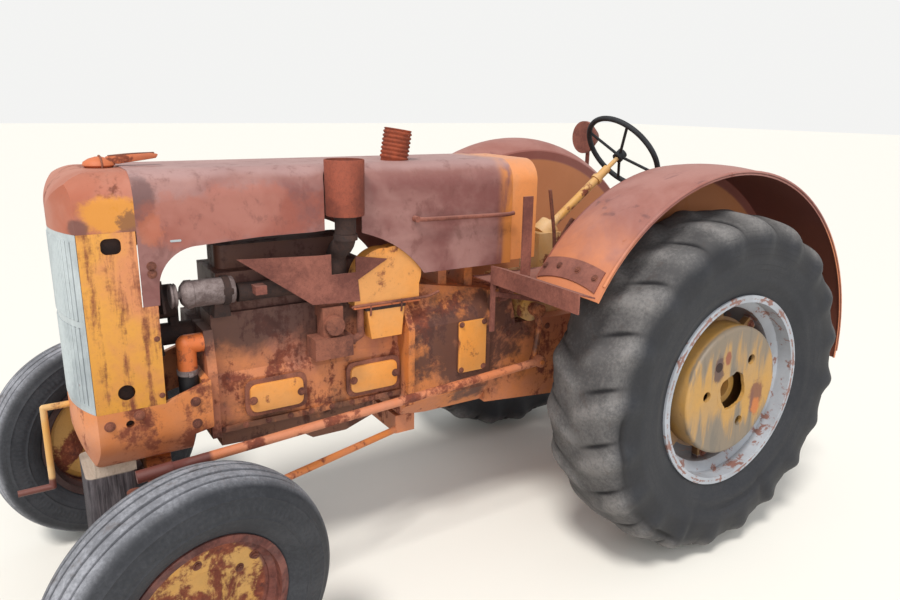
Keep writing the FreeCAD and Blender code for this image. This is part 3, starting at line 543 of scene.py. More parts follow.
def fender_finish(side):
    """Bleached maroon on top under dust and a painted sky highlight, orange low down at the front,
    painted shade inside.
    """
    colours, _ = settings()
    centre = wheel_frame("rear_%s_spin" % side)[0] + Vector((0, 0, 0.036))
    finish = aged_paint("fender_paint_" + side, colours.fender, colours.fender_worn, 0.86, 3.4, 0.2,
                        0.3, 0.62, tone(176, 124, 112), 0.12, 7)
    broad = finish.noise(3.4, 5, 0.62, 0.5, shift=(6, 0, 2))
    height = finish.axis("Z")
    low = 1 - finish.step(height + (broad - 0.5) * 0.5, 1.24, 1.50)
    finish.cover(low * 0.8, tone(206, 128, 82))
    smudge = finish.noise(5.5, 5, 0.6, 1.2, shift=(3, 3, 3))
    finish.cover(finish.step(smudge, 0.60, 0.70) * finish.step(height, 1.35, 1.5) * 0.6,
                 tone(92, 58, 60))
    arm = finish.vector("MULTIPLY", finish.vector("SUBTRACT", finish.place, centre), (1, 0, 1))
    radius = finish.vector("LENGTH", arm, out=1)
    # painted shade on the inner side that faces the wheel
    inwards = finish.vector("DOT_PRODUCT", arm, finish.facing(), out=1) * -1
    finish.cover(finish.step(inwards, 0.15, 0.4) * 0.9, tone(96, 48, 40))
    plate = 1 - finish.step(finish.axis("Y").size(), 0.486, 0.494)
    band = finish.step(radius, 0.80, 0.815)
    finish.cover(plate * (1 - band) * 0.9,
                 finish.blend(broad, tone(164, 100, 62), tone(190, 124, 76)))
    finish.cover(plate * band * 0.8, tone(124, 66, 56))


def engine_finish():
    """Painted shadow of the hood across the top, orange over rust lower down, darker towards the
    bottom.
    """
    finish = aged_paint("engine_paint", tone(198, 122, 74), tone(166, 102, 78), 0.62, 8, 0.3, 0.6,
                        0.6, shift=6)
    broad = finish.noise(5, 6, 0.65, 0.3, shift=(2, 2, 0))
    tall = finish.axis("Z") + (broad - 0.5) * 0.45
    # painted shadow of the hood across the top of the block
    finish.cover(finish.step(tall, 0.93, 1.08) * 0.88, tone(64, 40, 36))
    # darker towards the bottom
    finish.cover((1 - finish.step(tall, 0.70, 0.80)) * 0.8, tone(58, 38, 32))
    soot = finish.noise(14, 6, 0.7, shift=(0, 7, 0))
    finish.cover(finish.step(soot, 0.58, 0.70) * 0.6, tone(70, 40, 34))


def hood_finishes():
    """Maroon hood, orange cowl and the shell round the radiator, each with its spots."""
    colours, _ = settings()
    hood = aged_paint("hood_paint", colours.hood, colours.hood_worn, 0.86, 4, 0.3, 0.3, 0.62,
                      tone(168, 128, 118), 0.2, 1)
    streak = hood.noise(7, 5, 0.6, 0.2, (2.4, 2.4, 0.3), (1, 0, 0))
    hood.spots(((1265, 235, 1560), (0.05, 0.12, 0.09), 0.6, 12, 0.7, (76, 50, 52)),
               ((1240, 235, 1475), (0.04, 0.1, 0.06), 0.9, 16, 0.4, (188, 104, 60)),
               ((980, 235, 1500), (0.34, 0.12, 0.10), 0.5, 9, 0.35, (172, 84, 52)))
    back = 1 - hood.step(hood.axis("X"), -0.17, -0.11)
    hood.cover(back * hood.step(streak, 0.3, 0.5) * 0.9, tone(204, 128, 58))
    # paler band along the top of the hood: dust plus a painted sky highlight
    wander = (hood.noise(5, 5, 0.6, shift=(3, 3, 1)) - 0.5) * 0.06
    hood.cover(hood.step(hood.axis("Z") + wander, 1.615, 1.645) * 0.5, tone(172, 142, 140))
    mottled = hood.noise(13, 6, 0.72, 0.3, (1, 1, 0.7), (2, 9, 4))
    hood.cover(hood.step(mottled, 0.52, 0.66) * 0.45, tone(98, 56, 50))
    aged_paint("cowl_paint", tone(222, 142, 82), tone(216, 146, 96), 0.78, 5, 0.5, 0.4, 0.5,
               tone(176, 130, 108), 0.2, 2)
    shell = aged_paint("shell_paint", tone(164, 88, 62), tone(176, 112, 92), 0.72, 6, 0.2, 0.5, 0.6,
                       tone(176, 126, 108), 0.16, 3)
    shell.spots(((1350, 235, 1528), (0.10, 0.09, 0.055), 0.5, 11, 0.9, (206, 136, 44)),
                ((1350, -235, 1528), (0.09, 0.09, 0.05), 0.5, 11, 0.9, (206, 136, 44)),
                ((1446, 235, 1494), (0.035, 0.06, 0.03), 0.4, 16, 0.7, (74, 46, 46)),
                ((1300, 235, 1500), (0.04, 0.05, 0.04), 0.8, 30, 0.7, (86, 52, 44)))


def casting_finishes():
    """Orange castings, grimy on the bell, dark under the nose; hose and drag link."""
    colours, _ = settings()
    casting = aged_paint("casting_paint", colours.casting, colours.casting_worn, 0.64, 8, 0.25, 0.6,
                         0.55, shift=5)
    grime = casting.noise(7, 6, 0.7, 0.4, shift=(5, 2, 2))
    bell = casting.patch(spot(0, 240, 900), (0.30, 0.24, 0.26), 0.7, 9)
    casting.cover(bell * casting.step(grime, 0.32, 0.50) * 0.9, tone(76, 48, 42))
    nose = aged_paint("support_paint", tone(208, 126, 68), tone(204, 134, 94), 0.66, 6, 0.15, 0.5,
                      0.5, shift=12, ragged=0.06)
    nose.cover((1 - nose.step(nose.axis("Z"), 0.74, 0.84)) * 0.55, tone(120, 62, 38))
    hose = aged_paint("hose_paint", tone(208, 104, 36), tone(206, 110, 60), 0.66, 9, 0.2, 0.5, 0.5,
                      shift=5.5)
    hose.cover(1 - hose.step(hose.axis("Z"), 0.964, 0.970), tone(34, 32, 34))
    link = aged_paint("link_paint", tone(196, 116, 74), tone(190, 122, 90), 0.62, 9, 0.1, 0.5, 0.55,
                      shift=13, ragged=0.06)
    link.cover(link.step(link.axis("X"), 1.10, 1.12), tone(98, 52, 46))


def small_finishes():
    """Panels, grille, bare and rusted iron, rubber and timber."""
    colours, _ = settings()
    aged_paint("panel_paint", colours.panel, colours.panel_worn, 0.70, 6, 0.62, 0.45, 0.5, shift=4,
               ragged=0.10)
    aged_paint("grille_paint", colours.grille, tone(150, 158, 162), 0.92, 5, 0.5, 0.2, 0.5, shift=10)
    rusted("dull_alloy", tone(84, 68, 66), tone(140, 126, 124), 1, 0.7, 1.6)
    rusted("rusty_iron", tone(82, 46, 38), tone(142, 86, 66), 2)
    rusted("rusty_sheet", tone(96, 52, 44), tone(142, 86, 72), 3, dust=tone(150, 104, 92))
    rusted("red_rust", tone(104, 50, 38), tone(146, 74, 54), 4)
    rusted("dark_iron", tone(34, 24, 24), tone(70, 46, 38), 5)
    rusted("stack_rust", tone(104, 46, 28), tone(160, 74, 44), 6)
    yellow = aged_paint("column_paint", tone(204, 150, 74), tone(206, 172, 126), 0.72, 9, 0.1, 0.5,
                        0.5, shift=11)
    yellow.cover((1 - yellow.step(yellow.axis("Z"), 0.600, 0.612))
                 * yellow.step(yellow.axis("X"), 1.3, 1.32), tone(104, 58, 50))
    aged_paint("cover_paint", tone(222, 144, 62), tone(216, 150, 84), 0.8, 7, 0.2, 0.4, 0.5,
               shift=14, ragged=0.06)
    aged_paint("ornament_paint", tone(196, 106, 62), tone(184, 104, 70), 0.74, 9, 0.1, 0.5, 0.6,
               shift=15)
    worn_rubber("grip_rubber", tone(30, 31, 35), tone(64, 68, 74))
    worn_rubber("tyre_rubber", colours.rubber, colours.rubber_dust)
    timber = weathered_timber("timber", tone(104, 98, 102), tone(48, 44, 48))
    fresh = timber.blend(timber.noise(4, 8, 0.7, 0.4, (20, 1.5, 22)), tone(150, 132, 116),
                         tone(218, 202, 186))
    timber.cover(timber.step(timber.axis("Z"), 0.620, 0.628), fresh)


# Which CAD pieces wear which finish
WORN_BY = {
    "hood_paint": ["hood"], "cowl_paint": ["fuel_tank"], "shell_paint": ["radiator_shell"],
    "panel_paint": ["side_panels"], "support_paint": ["front_support"], "timber": ["timber_prop"],
    "casting_paint": ["clutch_housing", "gearbox", "drop_arm", "front_axle"],
    "hose_paint": ["cooling_pipe"], "link_paint": ["drag_link"], "cover_paint": ["air_cleaner"],
    "engine_paint": ["engine_block", "oil_pan"], "grille_paint": ["grille"],
    "fender_paint_left": ["fender_left"], "fender_paint_right": ["fender_right"],
    "rear_wheel_left": ["rear_wheel_left"], "rear_wheel_right": ["rear_wheel_right"],
    "front_wheel_left": ["front_wheel_left"], "front_wheel_right": ["front_wheel_right"],
    "rusty_iron": ["knuckle_left", "knuckle_right", "tie_rod", "seat", "levers", "carburettor"],
    "rusty_sheet": ["heat_shield", "headlamp", "platform", "radiator_cap"],
    "dull_alloy": ["generator"], "red_rust": ["exhaust", "intake_stack"],
    "dark_iron": ["radiator", "fan"], "column_paint": ["steering_column", "crank"],
    "grip_rubber": ["steering_wheel"],
    "tyre_rubber": ["rear_tyre_left", "rear_tyre_right", "front_tyre_left", "front_tyre_right"],
}


class TRACTOR_OT_frame(bpy.types.Operator):
    """Gives each CAD piece its finish"""
    bl_idname = "tractor.frame"
    bl_label = "Finish the frame"

    def execute(self, context):
        hood_finishes()
        casting_finishes()
        small_finishes()
        engine_finish()
        for side, _ in SIDES:
            rear_wheel_finish(side)
            front_wheel_finish(side)
            fender_finish(side)
        for finish, nodes in WORN_BY.items():
            for node in nodes:
                mesh = NODES[node].data
                mesh.materials.clear()
                mesh.materials.append(FINISHES[finish].material)
        return {"FINISHED"}


# Tyres: sections in millimetres from the middle and from the axis, outer half

REAR_SECTION = [(0, 717), (61, 715), (120, 706), (163, 690), (190, 658), (203, 604), (205, 545),
                (198, 492), (181, 444), (171, 414), (165, 404), (165, 388)]
FRONT_SECTION = [(0, 437), (14.5, 437), (16, 424), (23, 424), (24.5, 436), (47.5, 432), (49, 421),
                 (55, 421), (56.5, 430), (75, 423), (88, 407), (96, 386), (101, 362), (103, 340),
                 (102, 318), (97, 300), (87, 281), (76, 267), (72, 263), (69, 259), (69, 246)]


def full_turn(rows):
    return np.linspace(0, 2 * np.pi, rows, endpoint=False)[:, None]


def wavy(rows, columns, seed, turns, across):
    """Smooth random field, periodic round the wheel, about -1 to 1."""
    random = np.random.default_rng(seed)
    waves = 6
    angle, share = full_turn(rows), np.linspace(0, 1, columns)[None, :]
    total = np.zeros((rows, columns))
    for _ in range(waves):
        total += np.cos(random.integers(1, turns) * angle + random.uniform(0, 6.28)) * np.cos(
            random.uniform(0, across) * share + random.uniform(0, 6.28))
    return total / math.sqrt(waves)


def bump(value, width):
    return np.exp(-(value / width) ** 2)


def mirrored(section, share):
    """Whole outline of a tyre, its outward normals, and the share of the way to the bead."""
    outline = np.concatenate([section[:0:-1] * (-1, 1), section])
    slope = np.gradient(outline, axis=0)
    normal = np.stack([-slope[:, 1], slope[:, 0]], 1)
    normal /= np.linalg.norm(normal, axis=1)[:, None]
    if normal[len(section) - 1, 1] < 0:
        normal = -normal
    return outline, normal, np.concatenate([share[:0:-1], share])[None, :]


def worn_tyre(end, side, outline, normal, height, finish, marks):
    """Ring round a wheel's axis at this height over its outline, in place of the CAD tyre."""
    centre, out, ahead, up = (np.array(v) for v in wheel_frame("%s_%s_spin" % (end, side)))
    rows, columns = height.shape
    place = (outline + normal * height[..., None]) / 1000
    angle = full_turn(rows)[..., None]
    rays = ahead * np.cos(angle) + up * np.sin(angle)
    points = (centre + out * place[..., :1] + rays * place[..., 1:]).reshape(-1, 3)
    made = mesh_piece("%s_tyre_worn_%s" % (end, side), points, ring_faces(rows, columns, True),
                      finish)
    for key, values in marks.items():
        layer = made.data.attributes.new(key, "FLOAT", "POINT")
        layer.data.foreach_set("value", np.broadcast_to(values, height.shape).reshape(-1).astype("f"))
    face_out(made)
    node = "%s_tyre_%s" % (end, side)
    adopt(made, node, "tyre_rubber", node)
    return made


def rear_tyre(side, finish):
    """Worn tyre: low smoothed lugs, lumps at the shoulder, slots inside, folds near the ground."""
    _, sizes = settings()
    lugs = sizes.lugs
    rows, half = 960, 32
    section, share = along_line(REAR_SECTION, half)
    for _ in range(2):
        section[1:-1] = (section[:-2] + 2 * section[1:-1] + section[2:]) / 4
    outline, normal, reach = mirrored(section, share)
    hand = np.sign(np.arange(1 - half, half))[None, :]
    angle = full_turn(rows)
    seed = SEED if side == "left" else SEED + 5
    wear = np.random.default_rng(seed).uniform(0.7, 1.15, lugs * 2)
    across = np.abs(outline[:, 0])[None, :]
    lean = (across / 191 * 88 - 10) / 730
    total = np.zeros((rows, len(outline)))
    slots = np.zeros_like(total)
    rise = np.interp(reach, [0, 0.2, 0.345, 0.44, 0.56, 0.68, 1], [0.55, 0.62, 0.9, 1.1, 0.6, 0, 0])
    width = np.interp(reach, [0, 0.35, 0.55], [0.17, 0.23, 0.27])
    for way, shift, first, depth in ((1, 0, 0, 0.95), (-1, np.pi / lugs, lugs, 0.55)):
        turn = (angle - np.pi / 2 - lean + shift) * lugs / (2 * np.pi)
        place = turn - np.round(turn)
        index = np.round(turn).astype(int) % lugs + first
        here = np.clip((hand * across * way + 30) / 60, 0, 1)
        total += bump(place, width) ** 1.3 * rise * wear[index] * here
        slots += bump(place - 0.36, 0.045) * bump(reach - 0.25, 0.14) * here * depth
        if way < 0:
            slots += bump(np.abs(place) - 0.5, 0.05) * bump(reach - 0.36, 0.06) * here * 1.3
    height = total * sizes.lug_height * 1000 - slots * 8
    height += wavy(rows, len(outline), seed, 11, 6) * 2.6
    # side walls: a ring near the bead, folds low down, and the gap that opens under the tread
    low = bump((angle + np.pi) % (2 * np.pi) - np.pi / 2 + 0.1, 0.55)
    ring = 5 * bump(reach - 0.83, 0.035) - 4 * bump(reach - 0.76, 0.02)
    bulge = low * bump(reach - 0.66, 0.16) * 13 * (hand > 0)
    fold = (bump(reach - 0.74, 0.018) * low * 11
            + bump(angle - 4.25, 0.05) * bump(reach - 0.6, 0.16) * 14
            + bump(angle - 5.1, 0.04) * bump(reach - 0.55, 0.14) * 9) * (hand > 0)
    gap = bump(reach - (0.455 + 0.02 * np.sin(angle * 3)), 0.013) * np.clip(
        (np.cos(angle - 5.75) - 0.74) * 6, 0, 1) * (hand > 0)
    height += ring + bulge - fold - gap * 17
    height *= np.clip((1 - reach) * 9, 0, 1)
    # painted shade in the valleys between lugs, in the slots, in the gap under the tread and in the
    # folds
    between = np.clip(0.42 - total * 0.8, 0, 0.42) * (reach < 0.62)
    worn_tyre("rear", side, outline, normal, height, finish, {
        "tread": np.clip((0.47 - reach) * 9, 0, 1),
        "groove": np.clip(slots * 0.85 + gap * 1.2 + fold * 0.02 + between, 0, 1)})


def front_tyre(side, finish):
    """Ribbed tyre with two thin rings on the side and a lozenge band between them."""
    rows, half = 720, 62
    outline, normal, reach = mirrored(*along_line(FRONT_SECTION, half))
    angle = full_turn(rows)
    across, radius = np.abs(outline[:, 0])[None, :], outline[:, 1][None, :]
    on_side = np.clip((across - 90) / 6, 0, 1)
    rings = bump(radius - 384, 2.6) * 2.4 + bump(radius - 322, 2.6) * 2.4
    lozenge = np.maximum(0, np.cos(angle * 60 + radius * 0.1) * np.cos(angle * 60 - radius * 0.1))
    height = (rings + lozenge * bump(radius - 353, 24) * 2) * on_side
    height += wavy(rows, len(outline), SEED + 2, 9, 5) * 1.6
    height *= np.clip((1 - reach) * 9, 0, 1)
    # painted shade in the two grooves of the tread
    groove = bump(across - 19.5, 3.4) + bump(across - 52, 3)
    creased(worn_tyre("front", side, outline, normal, height, finish, {
        "tread": np.clip((0.42 - reach) * 9, 0, 1), "groove": groove * 0.75}), 40)


class TRACTOR_OT_tyres(bpy.types.Operator):
    """Makes the four worn tyres"""
    bl_idname = "tractor.tyres"
    bl_label = "Tyres"

    def execute(self, context):
        colours, _ = settings()
        for side, _ in SIDES:
            for end, make, dust in (("rear", rear_tyre, colours.rubber_dust),
                                    ("front", front_tyre, tone(154, 155, 162))):
                make(side, worn_rubber("%s_rubber_%s" % (end, side), colours.rubber, dust,
                                       "%s_%s_spin" % (end, side)))
        return {"FINISHED"}


# Fittings

def surface(node, start, aim):
    """Point and outward direction where a ray meets a CAD piece."""
    if node not in TREES:
        mesh = NODES[node].data
        TREES[node] = BVHTree.FromPolygons([v.co.copy() for v in mesh.vertices],
                                           [tuple(p.vertices) for p in mesh.polygons])
    place, normal, _, _ = TREES[node].ray_cast(start, Vector(aim).normalized())
    if place is None:
        raise RuntimeError("nothing of %s is met from %s" % (node, tuple(start)))
    return place, normal if normal.dot(Vector(aim)) < 0 else -normal


def side_y(node, x, z, hand=1):
    """Where a ray from one side meets a CAD piece, in drawing millimetres."""
    return surface(node, spot(x, hand * BESIDE, z), (0, -hand, 0))[0].y * 1000


def oblong(x0, x1, z0, z1, radius=0, steps=4):
    """Upright rectangle in drawing millimetres, with rounded corners where a radius is given."""
    corners = [np.array(corner, float) for corner in ((x0, z0), (x1, z0), (x1, z1), (x0, z1))]
    if not radius:
        return corners
    result = []
    for i, here in enumerate(corners):
        before, after = corners[i - 1] - here, corners[(i + 1) % 4] - here
        back, onward = np.linalg.norm(before), np.linalg.norm(after)
        reach = min(radius, back * 0.48, onward * 0.48)
        a, b = here + before / back * reach, here + after / onward * reach
        for k in range(steps + 1):
            t = k / steps
            result.append((1 - t) ** 2 * a + 2 * t * (1 - t) * here + t * t * b)
    return result


def slab(name, outline, start, end, finish, bevel=0, crease=35):
    """Upright plate from an (x, z) outline, between two places in y, in drawing millimetres."""
    points = [spot(x, y, z) for y in (start, end) for x, z in outline]
    number = len(outline)
    faces = [tuple(range(number)), tuple(range(number, 2 * number))]
    faces += [(i, (i + 1) % number, number + (i + 1) % number, number + i) for i in range(number)]
    made = face_out(mesh_piece(name, points, faces, finish, False))
    if bevel:
        work = bmesh.new()
        work.from_mesh(made.data)
        sharp = [e for e in work.edges if e.calc_face_angle(0) > math.radians(crease)]
        bmesh.ops.bevel(work, geom=sharp, offset=bevel, segments=2, affect="EDGES", profile=0.6)
        work.to_mesh(made.data)
        work.free()
    made.data.shade_smooth()
    return creased(made, crease)


def circle(centre, side, other, radius, number):
    return [centre + spoke(side, other, 2 * math.pi * k / number) * radius for k in range(number)]


def pipe(name, path, radius, finish, sides=16, bend=0.03):
    """Round bar along a path in drawing millimetres, its bends rounded and its ends closed."""
    points = [spot(*p) for p in path]
    line = [points[0]]
    for before, here, after in zip(points, points[1:], points[2:]):
        back, onward = before - here, after - here
        reach = min(bend, back.length * 0.48, onward.length * 0.48)
        a, b = here + back.normalized() * reach, here + onward.normalized() * reach
        line += [a * (1 - t) ** 2 + here * (2 * t * (1 - t)) + b * t * t
                 for t in (0, 0.2, 0.4, 0.6, 0.8, 1)]
    line.append(points[-1])
    verts = []
    side = (line[1] - line[0]).orthogonal().normalized()
    for i, place in enumerate(line):
        along = (line[min(i + 1, len(line) - 1)] - line[max(i - 1, 0)]).normalized()
        side = (side - along * side.dot(along)).normalized()
        verts += circle(place, side, along.cross(side), radius, sides)
    return tube(name, verts, len(line), finish, 50)


def turned(name, centre, axis, profile, finish, sides=40, crease=32):
    """Solid of revolution: (along, radius) steps in metres, about an axis through a centre."""
    axis = Vector(axis).normalized()
    side = axis.orthogonal().normalized()
    verts = []
    for along, radius in profile:
        verts += circle(centre + axis * along, side, axis.cross(side), max(radius, 1e-5), sides)
    return tube(name, verts, len(profile), finish, crease)


def strip_on(name, node, xs, ys, thick, finish):
    """Flat bar that lies on a CAD piece under it, between two ends in y, as wide as its xs."""
    points, rows, sunk = [], 15, 0.003
    for y in np.linspace(ys[0], ys[1], rows):
        row = [surface(node, spot(x, y, ABOVE), (0, 0, -1)) for x in xs]
        points += [place - normal * sunk for place, normal in row]
        points += [place + normal * thick for place, normal in reversed(row)]
    return tube(name, points, rows, finish, 40)


def merged(name, parts, node, slot, *replaced):
    """Joins pieces into one on the body of a CAD piece."""
    mesh = bpy.data.meshes.new(name)
    work = bmesh.new()
    finishes = []
    for part in parts:
        first, finish = len(work.faces), part.data.materials[0]
        work.from_mesh(part.data)
        work.faces.ensure_lookup_table()
        if finish not in finishes:
            finishes.append(finish)
            mesh.materials.append(finish)
        for face in work.faces[first:]:
            face.material_index = finishes.index(finish)
        bpy.data.objects.remove(part)
    work.to_mesh(mesh)
    work.free()
    adopt(new_object(name, mesh), node, slot, *replaced)


class TRACTOR_OT_exhaust(bpy.types.Operator):
    """Makes the exhaust with its open shroud, and the ridged intake stack"""
    bl_idname = "tractor.exhaust"
    bl_label = "Exhaust and stack"

    def execute(self, context):
        red, dark = FINISHES["red_rust"], FINISHES["dark_iron"]
        centre = spot(592, 250, 0)
        parts = [
            turned("shroud", centre, UP, [
                (1.480, 0.067), (1.484, 0.069), (1.672, 0.071), (1.676, 0.070), (1.676, 0.066),
                (1.500, 0.064), (1.500, 0)], red, 56),
            pipe("flue", [(592, 250, 1470), (592, 250, 1600)], 0.042, dark, 24),
            pipe("riser", [(592, 156, 1221), (592, 156, 1336), (592, 250, 1376), (592, 250, 1490)],
                 0.038, dark, 24, 0.05),
            pipe("log", [(558, 154, 1221), (966, 154, 1221)], 0.033, dark, 24),
            turned("band", centre, UP, [
                (1.392, 0.039), (1.392, 0.043), (1.412, 0.043), (1.412, 0.039)], dark)]
        for x in (582, 702, 832, 942):
            parts += [slab("flange_%d" % x, oblong(x - 27, x + 27, 1192, 1250, 12), 130.5, 142, dark,
                           0.002),
                      pipe("port_%d" % x, [(x, 140, 1221), (x, 156, 1221)], 0.026, dark, 20)]
        merged("exhaust_run", parts, "exhaust", "rusty_iron", "exhaust")
        ridges = [(-0.03, 0.050)]
        for i in range(7):
            ridges += [(rise + i * 0.0155, radius) for rise, radius in (
                (0.004, 0.0505), (0.008, 0.0555), (0.013, 0.0555), (0.017, 0.0505))]
        ridges += [(0.116, 0.054), (0.118, 0.051), (0.118, 0.046), (0.03, 0.045), (0.03, 0)]
        stack = turned("ridged_stack", spot(312, 90, 1655), (-0.16, 0.02, 1), ridges,
                       FINISHES["stack_rust"], 56, 60)
        adopt(stack, "intake_stack", "rusty_iron", "intake_stack")
        return {"FINISHED"}


class TRACTOR_OT_engine(bpy.types.Operator):
    """Adds covers, the air cleaner's fittings, the generator and the hose clamps"""
    bl_idname = "tractor.engine"
    bl_label = "Engine fittings"

    def execute(self, context):
        iron, cover, alloy, dark, ledge = (FINISHES[name] for name in (
            "rusty_iron", "cover_paint", "dull_alloy", "dark_iron", "ornament_paint"))
        parts = []
        for _, hand in SIDES:
            for x0, x1, z0, z1 in ((349, 563, 763, 885), (744, 958, 768, 887)):
                y = side_y("engine_block", (x0 + x1) / 2, (z0 + z1) / 2, hand)
                name = "%d_%d" % (x0, hand)
                parts += [slab("rim_" + name, oblong(x0 - 10, x1 + 10, z0 - 10, z1 + 10, 36, 6),
                               y - hand * 2, y + hand * 8, iron, 0.003),
                          slab("lid_" + name, oblong(x0 + 6, x1 - 6, z0 + 6, z1 - 6, 30, 6),
                               y, y + hand * 17, cover, 0.006)]
        y = side_y("clutch_housing", 20, 890)
        parts.append(slab("bell_plate", oblong(-48, 88, 779, 1002, 12), y - 2, y + 7, cover, 0.002))
        y = side_y("air_cleaner", 410, 1060)
        parts += [pipe("cleaner_rod", [(556, y - 6, 1124), (545, y + 5, 1130), (400, y + 7, 1131),
                                       (232, y + 7, 1131), (184, y + 5, 1146)], 0.0055, iron, 10),
                  slab("cleaner_ledge", oblong(268, 553, 1117, 1127), y - 40, y + 5, ledge, 0.002),
                  # dark strip under the ledge: painted shade
                  slab("cleaner_gap_shade", oblong(332, 504, 1104, 1117), y - 30, y + 1.2, dark)]
        parts += [pipe("cleaner_clip_%d" % x, [(x, y + 4, 1136), (x, y + 5, 1098), (x, y + 1, 1086)],
                       0.004, iron, 8) for x in (352, 484)]
        merged("engine_fittings", parts, "engine_block", "casting_paint")

        barrel = turned("barrel", spot(985, 186, 1243), FORWARD, [
            (0, 0.040), (0.004, 0.046), (0.026, 0.048), (0.028, 0.0455), (0.138, 0.0455),
            (0.140, 0.048), (0.160, 0.048), (0.168, 0.040), (0.176, 0.030), (0.178, 0.014),
            (0.190, 0.014), (0.190, 0.038), (0.194, 0.042), (0.200, 0.034), (0.206, 0.042),
            (0.210, 0.038), (0.210, 0.010)], alloy, 44)
        foot = slab("foot", [(1000, 1150.5), (1060, 1150.5), (1052, 1212), (1008, 1212)], 131, 196,
                    dark, 0.003)
        window = slab("brush_window", oblong(996, 1030, 1236, 1258, 5), 226, 233.6, dark, 0.001)
        strap = turned("strap", spot(1004, 186, 1243), FORWARD, [
            (0, 0.047), (0, 0.0505), (0.022, 0.0505), (0.022, 0.047)], dark, 44)
        merged("generator_unit", [barrel, foot, window, strap], "generator", "bare_alloy",
               "generator")
        clamps = [turned("clamp_%d" % i, spot(1150, 150, z), UP, [
            (-0.009, 0.033), (-0.009, 0.0365), (0.009, 0.0365), (0.009, 0.033)], alloy)
            for i, z in enumerate((962, 842))]
        clamps.append(slab("clamp_ear", oblong(1142, 1158, 955, 970, 3), 184, 200, alloy, 0.001))
        merged("hose_clamps", clamps, "cooling_pipe", "bare_alloy")
        return {"FINISHED"}


def fender_edge(node, hand):
    """Path round the outer edge of a fender in drawing millimetres, above its lower end."""
    low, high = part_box(node)
    edge = hand * (max(abs(low[1]), abs(high[1])) * 1000 - 2)
    x, z, radius, first, last, steps = -830, 781, 850, 34, 198, 60
    path = []
    for i in range(steps + 1):
        a = math.radians(first + i * (last - first) / steps)
        path.append((x + radius * math.cos(a), edge, z + radius * math.sin(a)))
    return [q for q in path if q[2] / 1000 > low[2] + 0.004]


class TRACTOR_OT_sheet(bpy.types.Operator):
    """Adds edges, bars and rods to the sheet metal, and the ornament on the nose"""
    bl_idname = "tractor.sheet"
    bl_label = "Sheet metal trim"

    def execute(self, context):
        iron, sheet, paint = (FINISHES[name] for name in ("rusty_iron", "rusty_sheet",
                                                          "ornament_paint"))
        for side, hand in SIDES:
            node = "fender_" + side
            bead = pipe("rolled_edge_" + side, fender_edge(node, hand), 0.0065,
                        FINISHES["fender_paint_" + side], 10, 0)
            adopt(bead, node, "fender_paint")
            bar = strip_on("fender_bar_" + side, node, (-104, -116, -128, -140, -152),
                           (hand * 494, hand * 806), 0.006, sheet)
            adopt(bar, node, "rusty_steel")
        merged("hood_rod", [
            pipe("side_rod", [(301, 250, 1446), (270, 262, 1444), (-120, 262, 1438), (-150, 262, 1442)],
                 0.0085, sheet, 14),
            pipe("rod_end", [(300, 236, 1446), (300, 262, 1446)], 0.012, sheet, 14),
            slab("rod_mark", oblong(1154, 1188, 1431, 1438, 3), 234, 236.6, FINISHES["grille_paint"]),
        ], "hood", "rusty_steel")
        body = turned("spear_body", spot(1342, 0, 1640), UP, [
            (0, 0.022), (0.010, 0.024), (0.012, 0.040), (0.020, 0.049), (0.030, 0.046),
            (0.040, 0.030), (0.046, 0.010), (0.047, 0)], paint, 36, 60)
        tail = slab("spear_tail", [(1330, 1664), (1318, 1686), (1244, 1692), (1182, 1695),
                                   (1158, 1691), (1166, 1678), (1215, 1671), (1284, 1662)],
                    -15, 15, paint, 0.005)
        ridges = [pipe("spear_ridge_%d" % y, [(1312, y, 1687), (1244, y * 0.9, 1693),
                                              (1170, y * 0.6, 1695)], 0.0025, iron, 8)
                  for y in (-9, 0, 9)]
        half = [(50, 1650), (50, 1668), (30, 1685)]
        wire = pipe("spear_wire", [(1338, y, z) for y, z in half] + [(1338, 0, 1690)]
                    + [(1338, -y, z) for y, z in reversed(half)], 0.003, iron, 8, 0.02)
        merged("nose_ornament", [body, tail, wire] + ridges, "radiator_cap", "rusty_steel",
               "radiator_cap")
        return {"FINISHED"}


class TRACTOR_OT_wheels(bpy.types.Operator):
    """Adds the torn opening and the filled hole of the rear wheel centres"""
    bl_idname = "tractor.wheels"
    bl_label = "Wheel fittings"

    def execute(self, context):
        random = np.random.default_rng(SEED + 3)
        number = 72
        angles = [2 * math.pi * i / number for i in range(number)]
        for side, _ in SIDES:
            node = "rear_wheel_" + side
            centre, out, ahead, up = wheel_frame("rear_%s_spin" % side)
            face, _ = surface(node, centre + out * WHEEL_CLEAR + ahead * 0.12 + up * 0.02, -out)
            depth = (face - centre).dot(out)
            outer, inner = [0.092] * number, []
            for a in angles:
                square = 0.074 / max(abs(math.cos(a + 0.3)), abs(math.sin(a + 0.3))) ** 0.7
                notch = (0.016 * math.exp(-((a - 1.9) / 0.22) ** 2)
                         - 0.012 * math.exp(-((a - 5.3) / 0.3) ** 2))
                inner.append(min(0.088, square + notch + random.normal(0, 0.0011)))
            points = []
            for reaches, lift in ((outer, -0.008), (outer, 0.0006), (inner, 0.0012), (inner, -0.013)):
                points += [centre + out * (depth + lift) + spoke(ahead, up, a) * reach
                           for a, reach in zip(angles, reaches)]
            ring = creased(face_out(mesh_piece("torn_opening_" + side, points,
                                               ring_faces(4, number, True), FINISHES[node])), 40)
            place = centre + out * (depth - 0.004) + ahead * 0.102 + up * 0.121
            plug = turned("filled_hole_" + side, place, out,
                          [(0, 0.020), (0.0052, 0.020), (0.0052, 0)], FINISHES["dark_iron"], 24)
            merged("wheel_face_" + side, [ring, plug], node, "wheel_paint")
        return {"FINISHED"}


# What repeats: Geometry Nodes

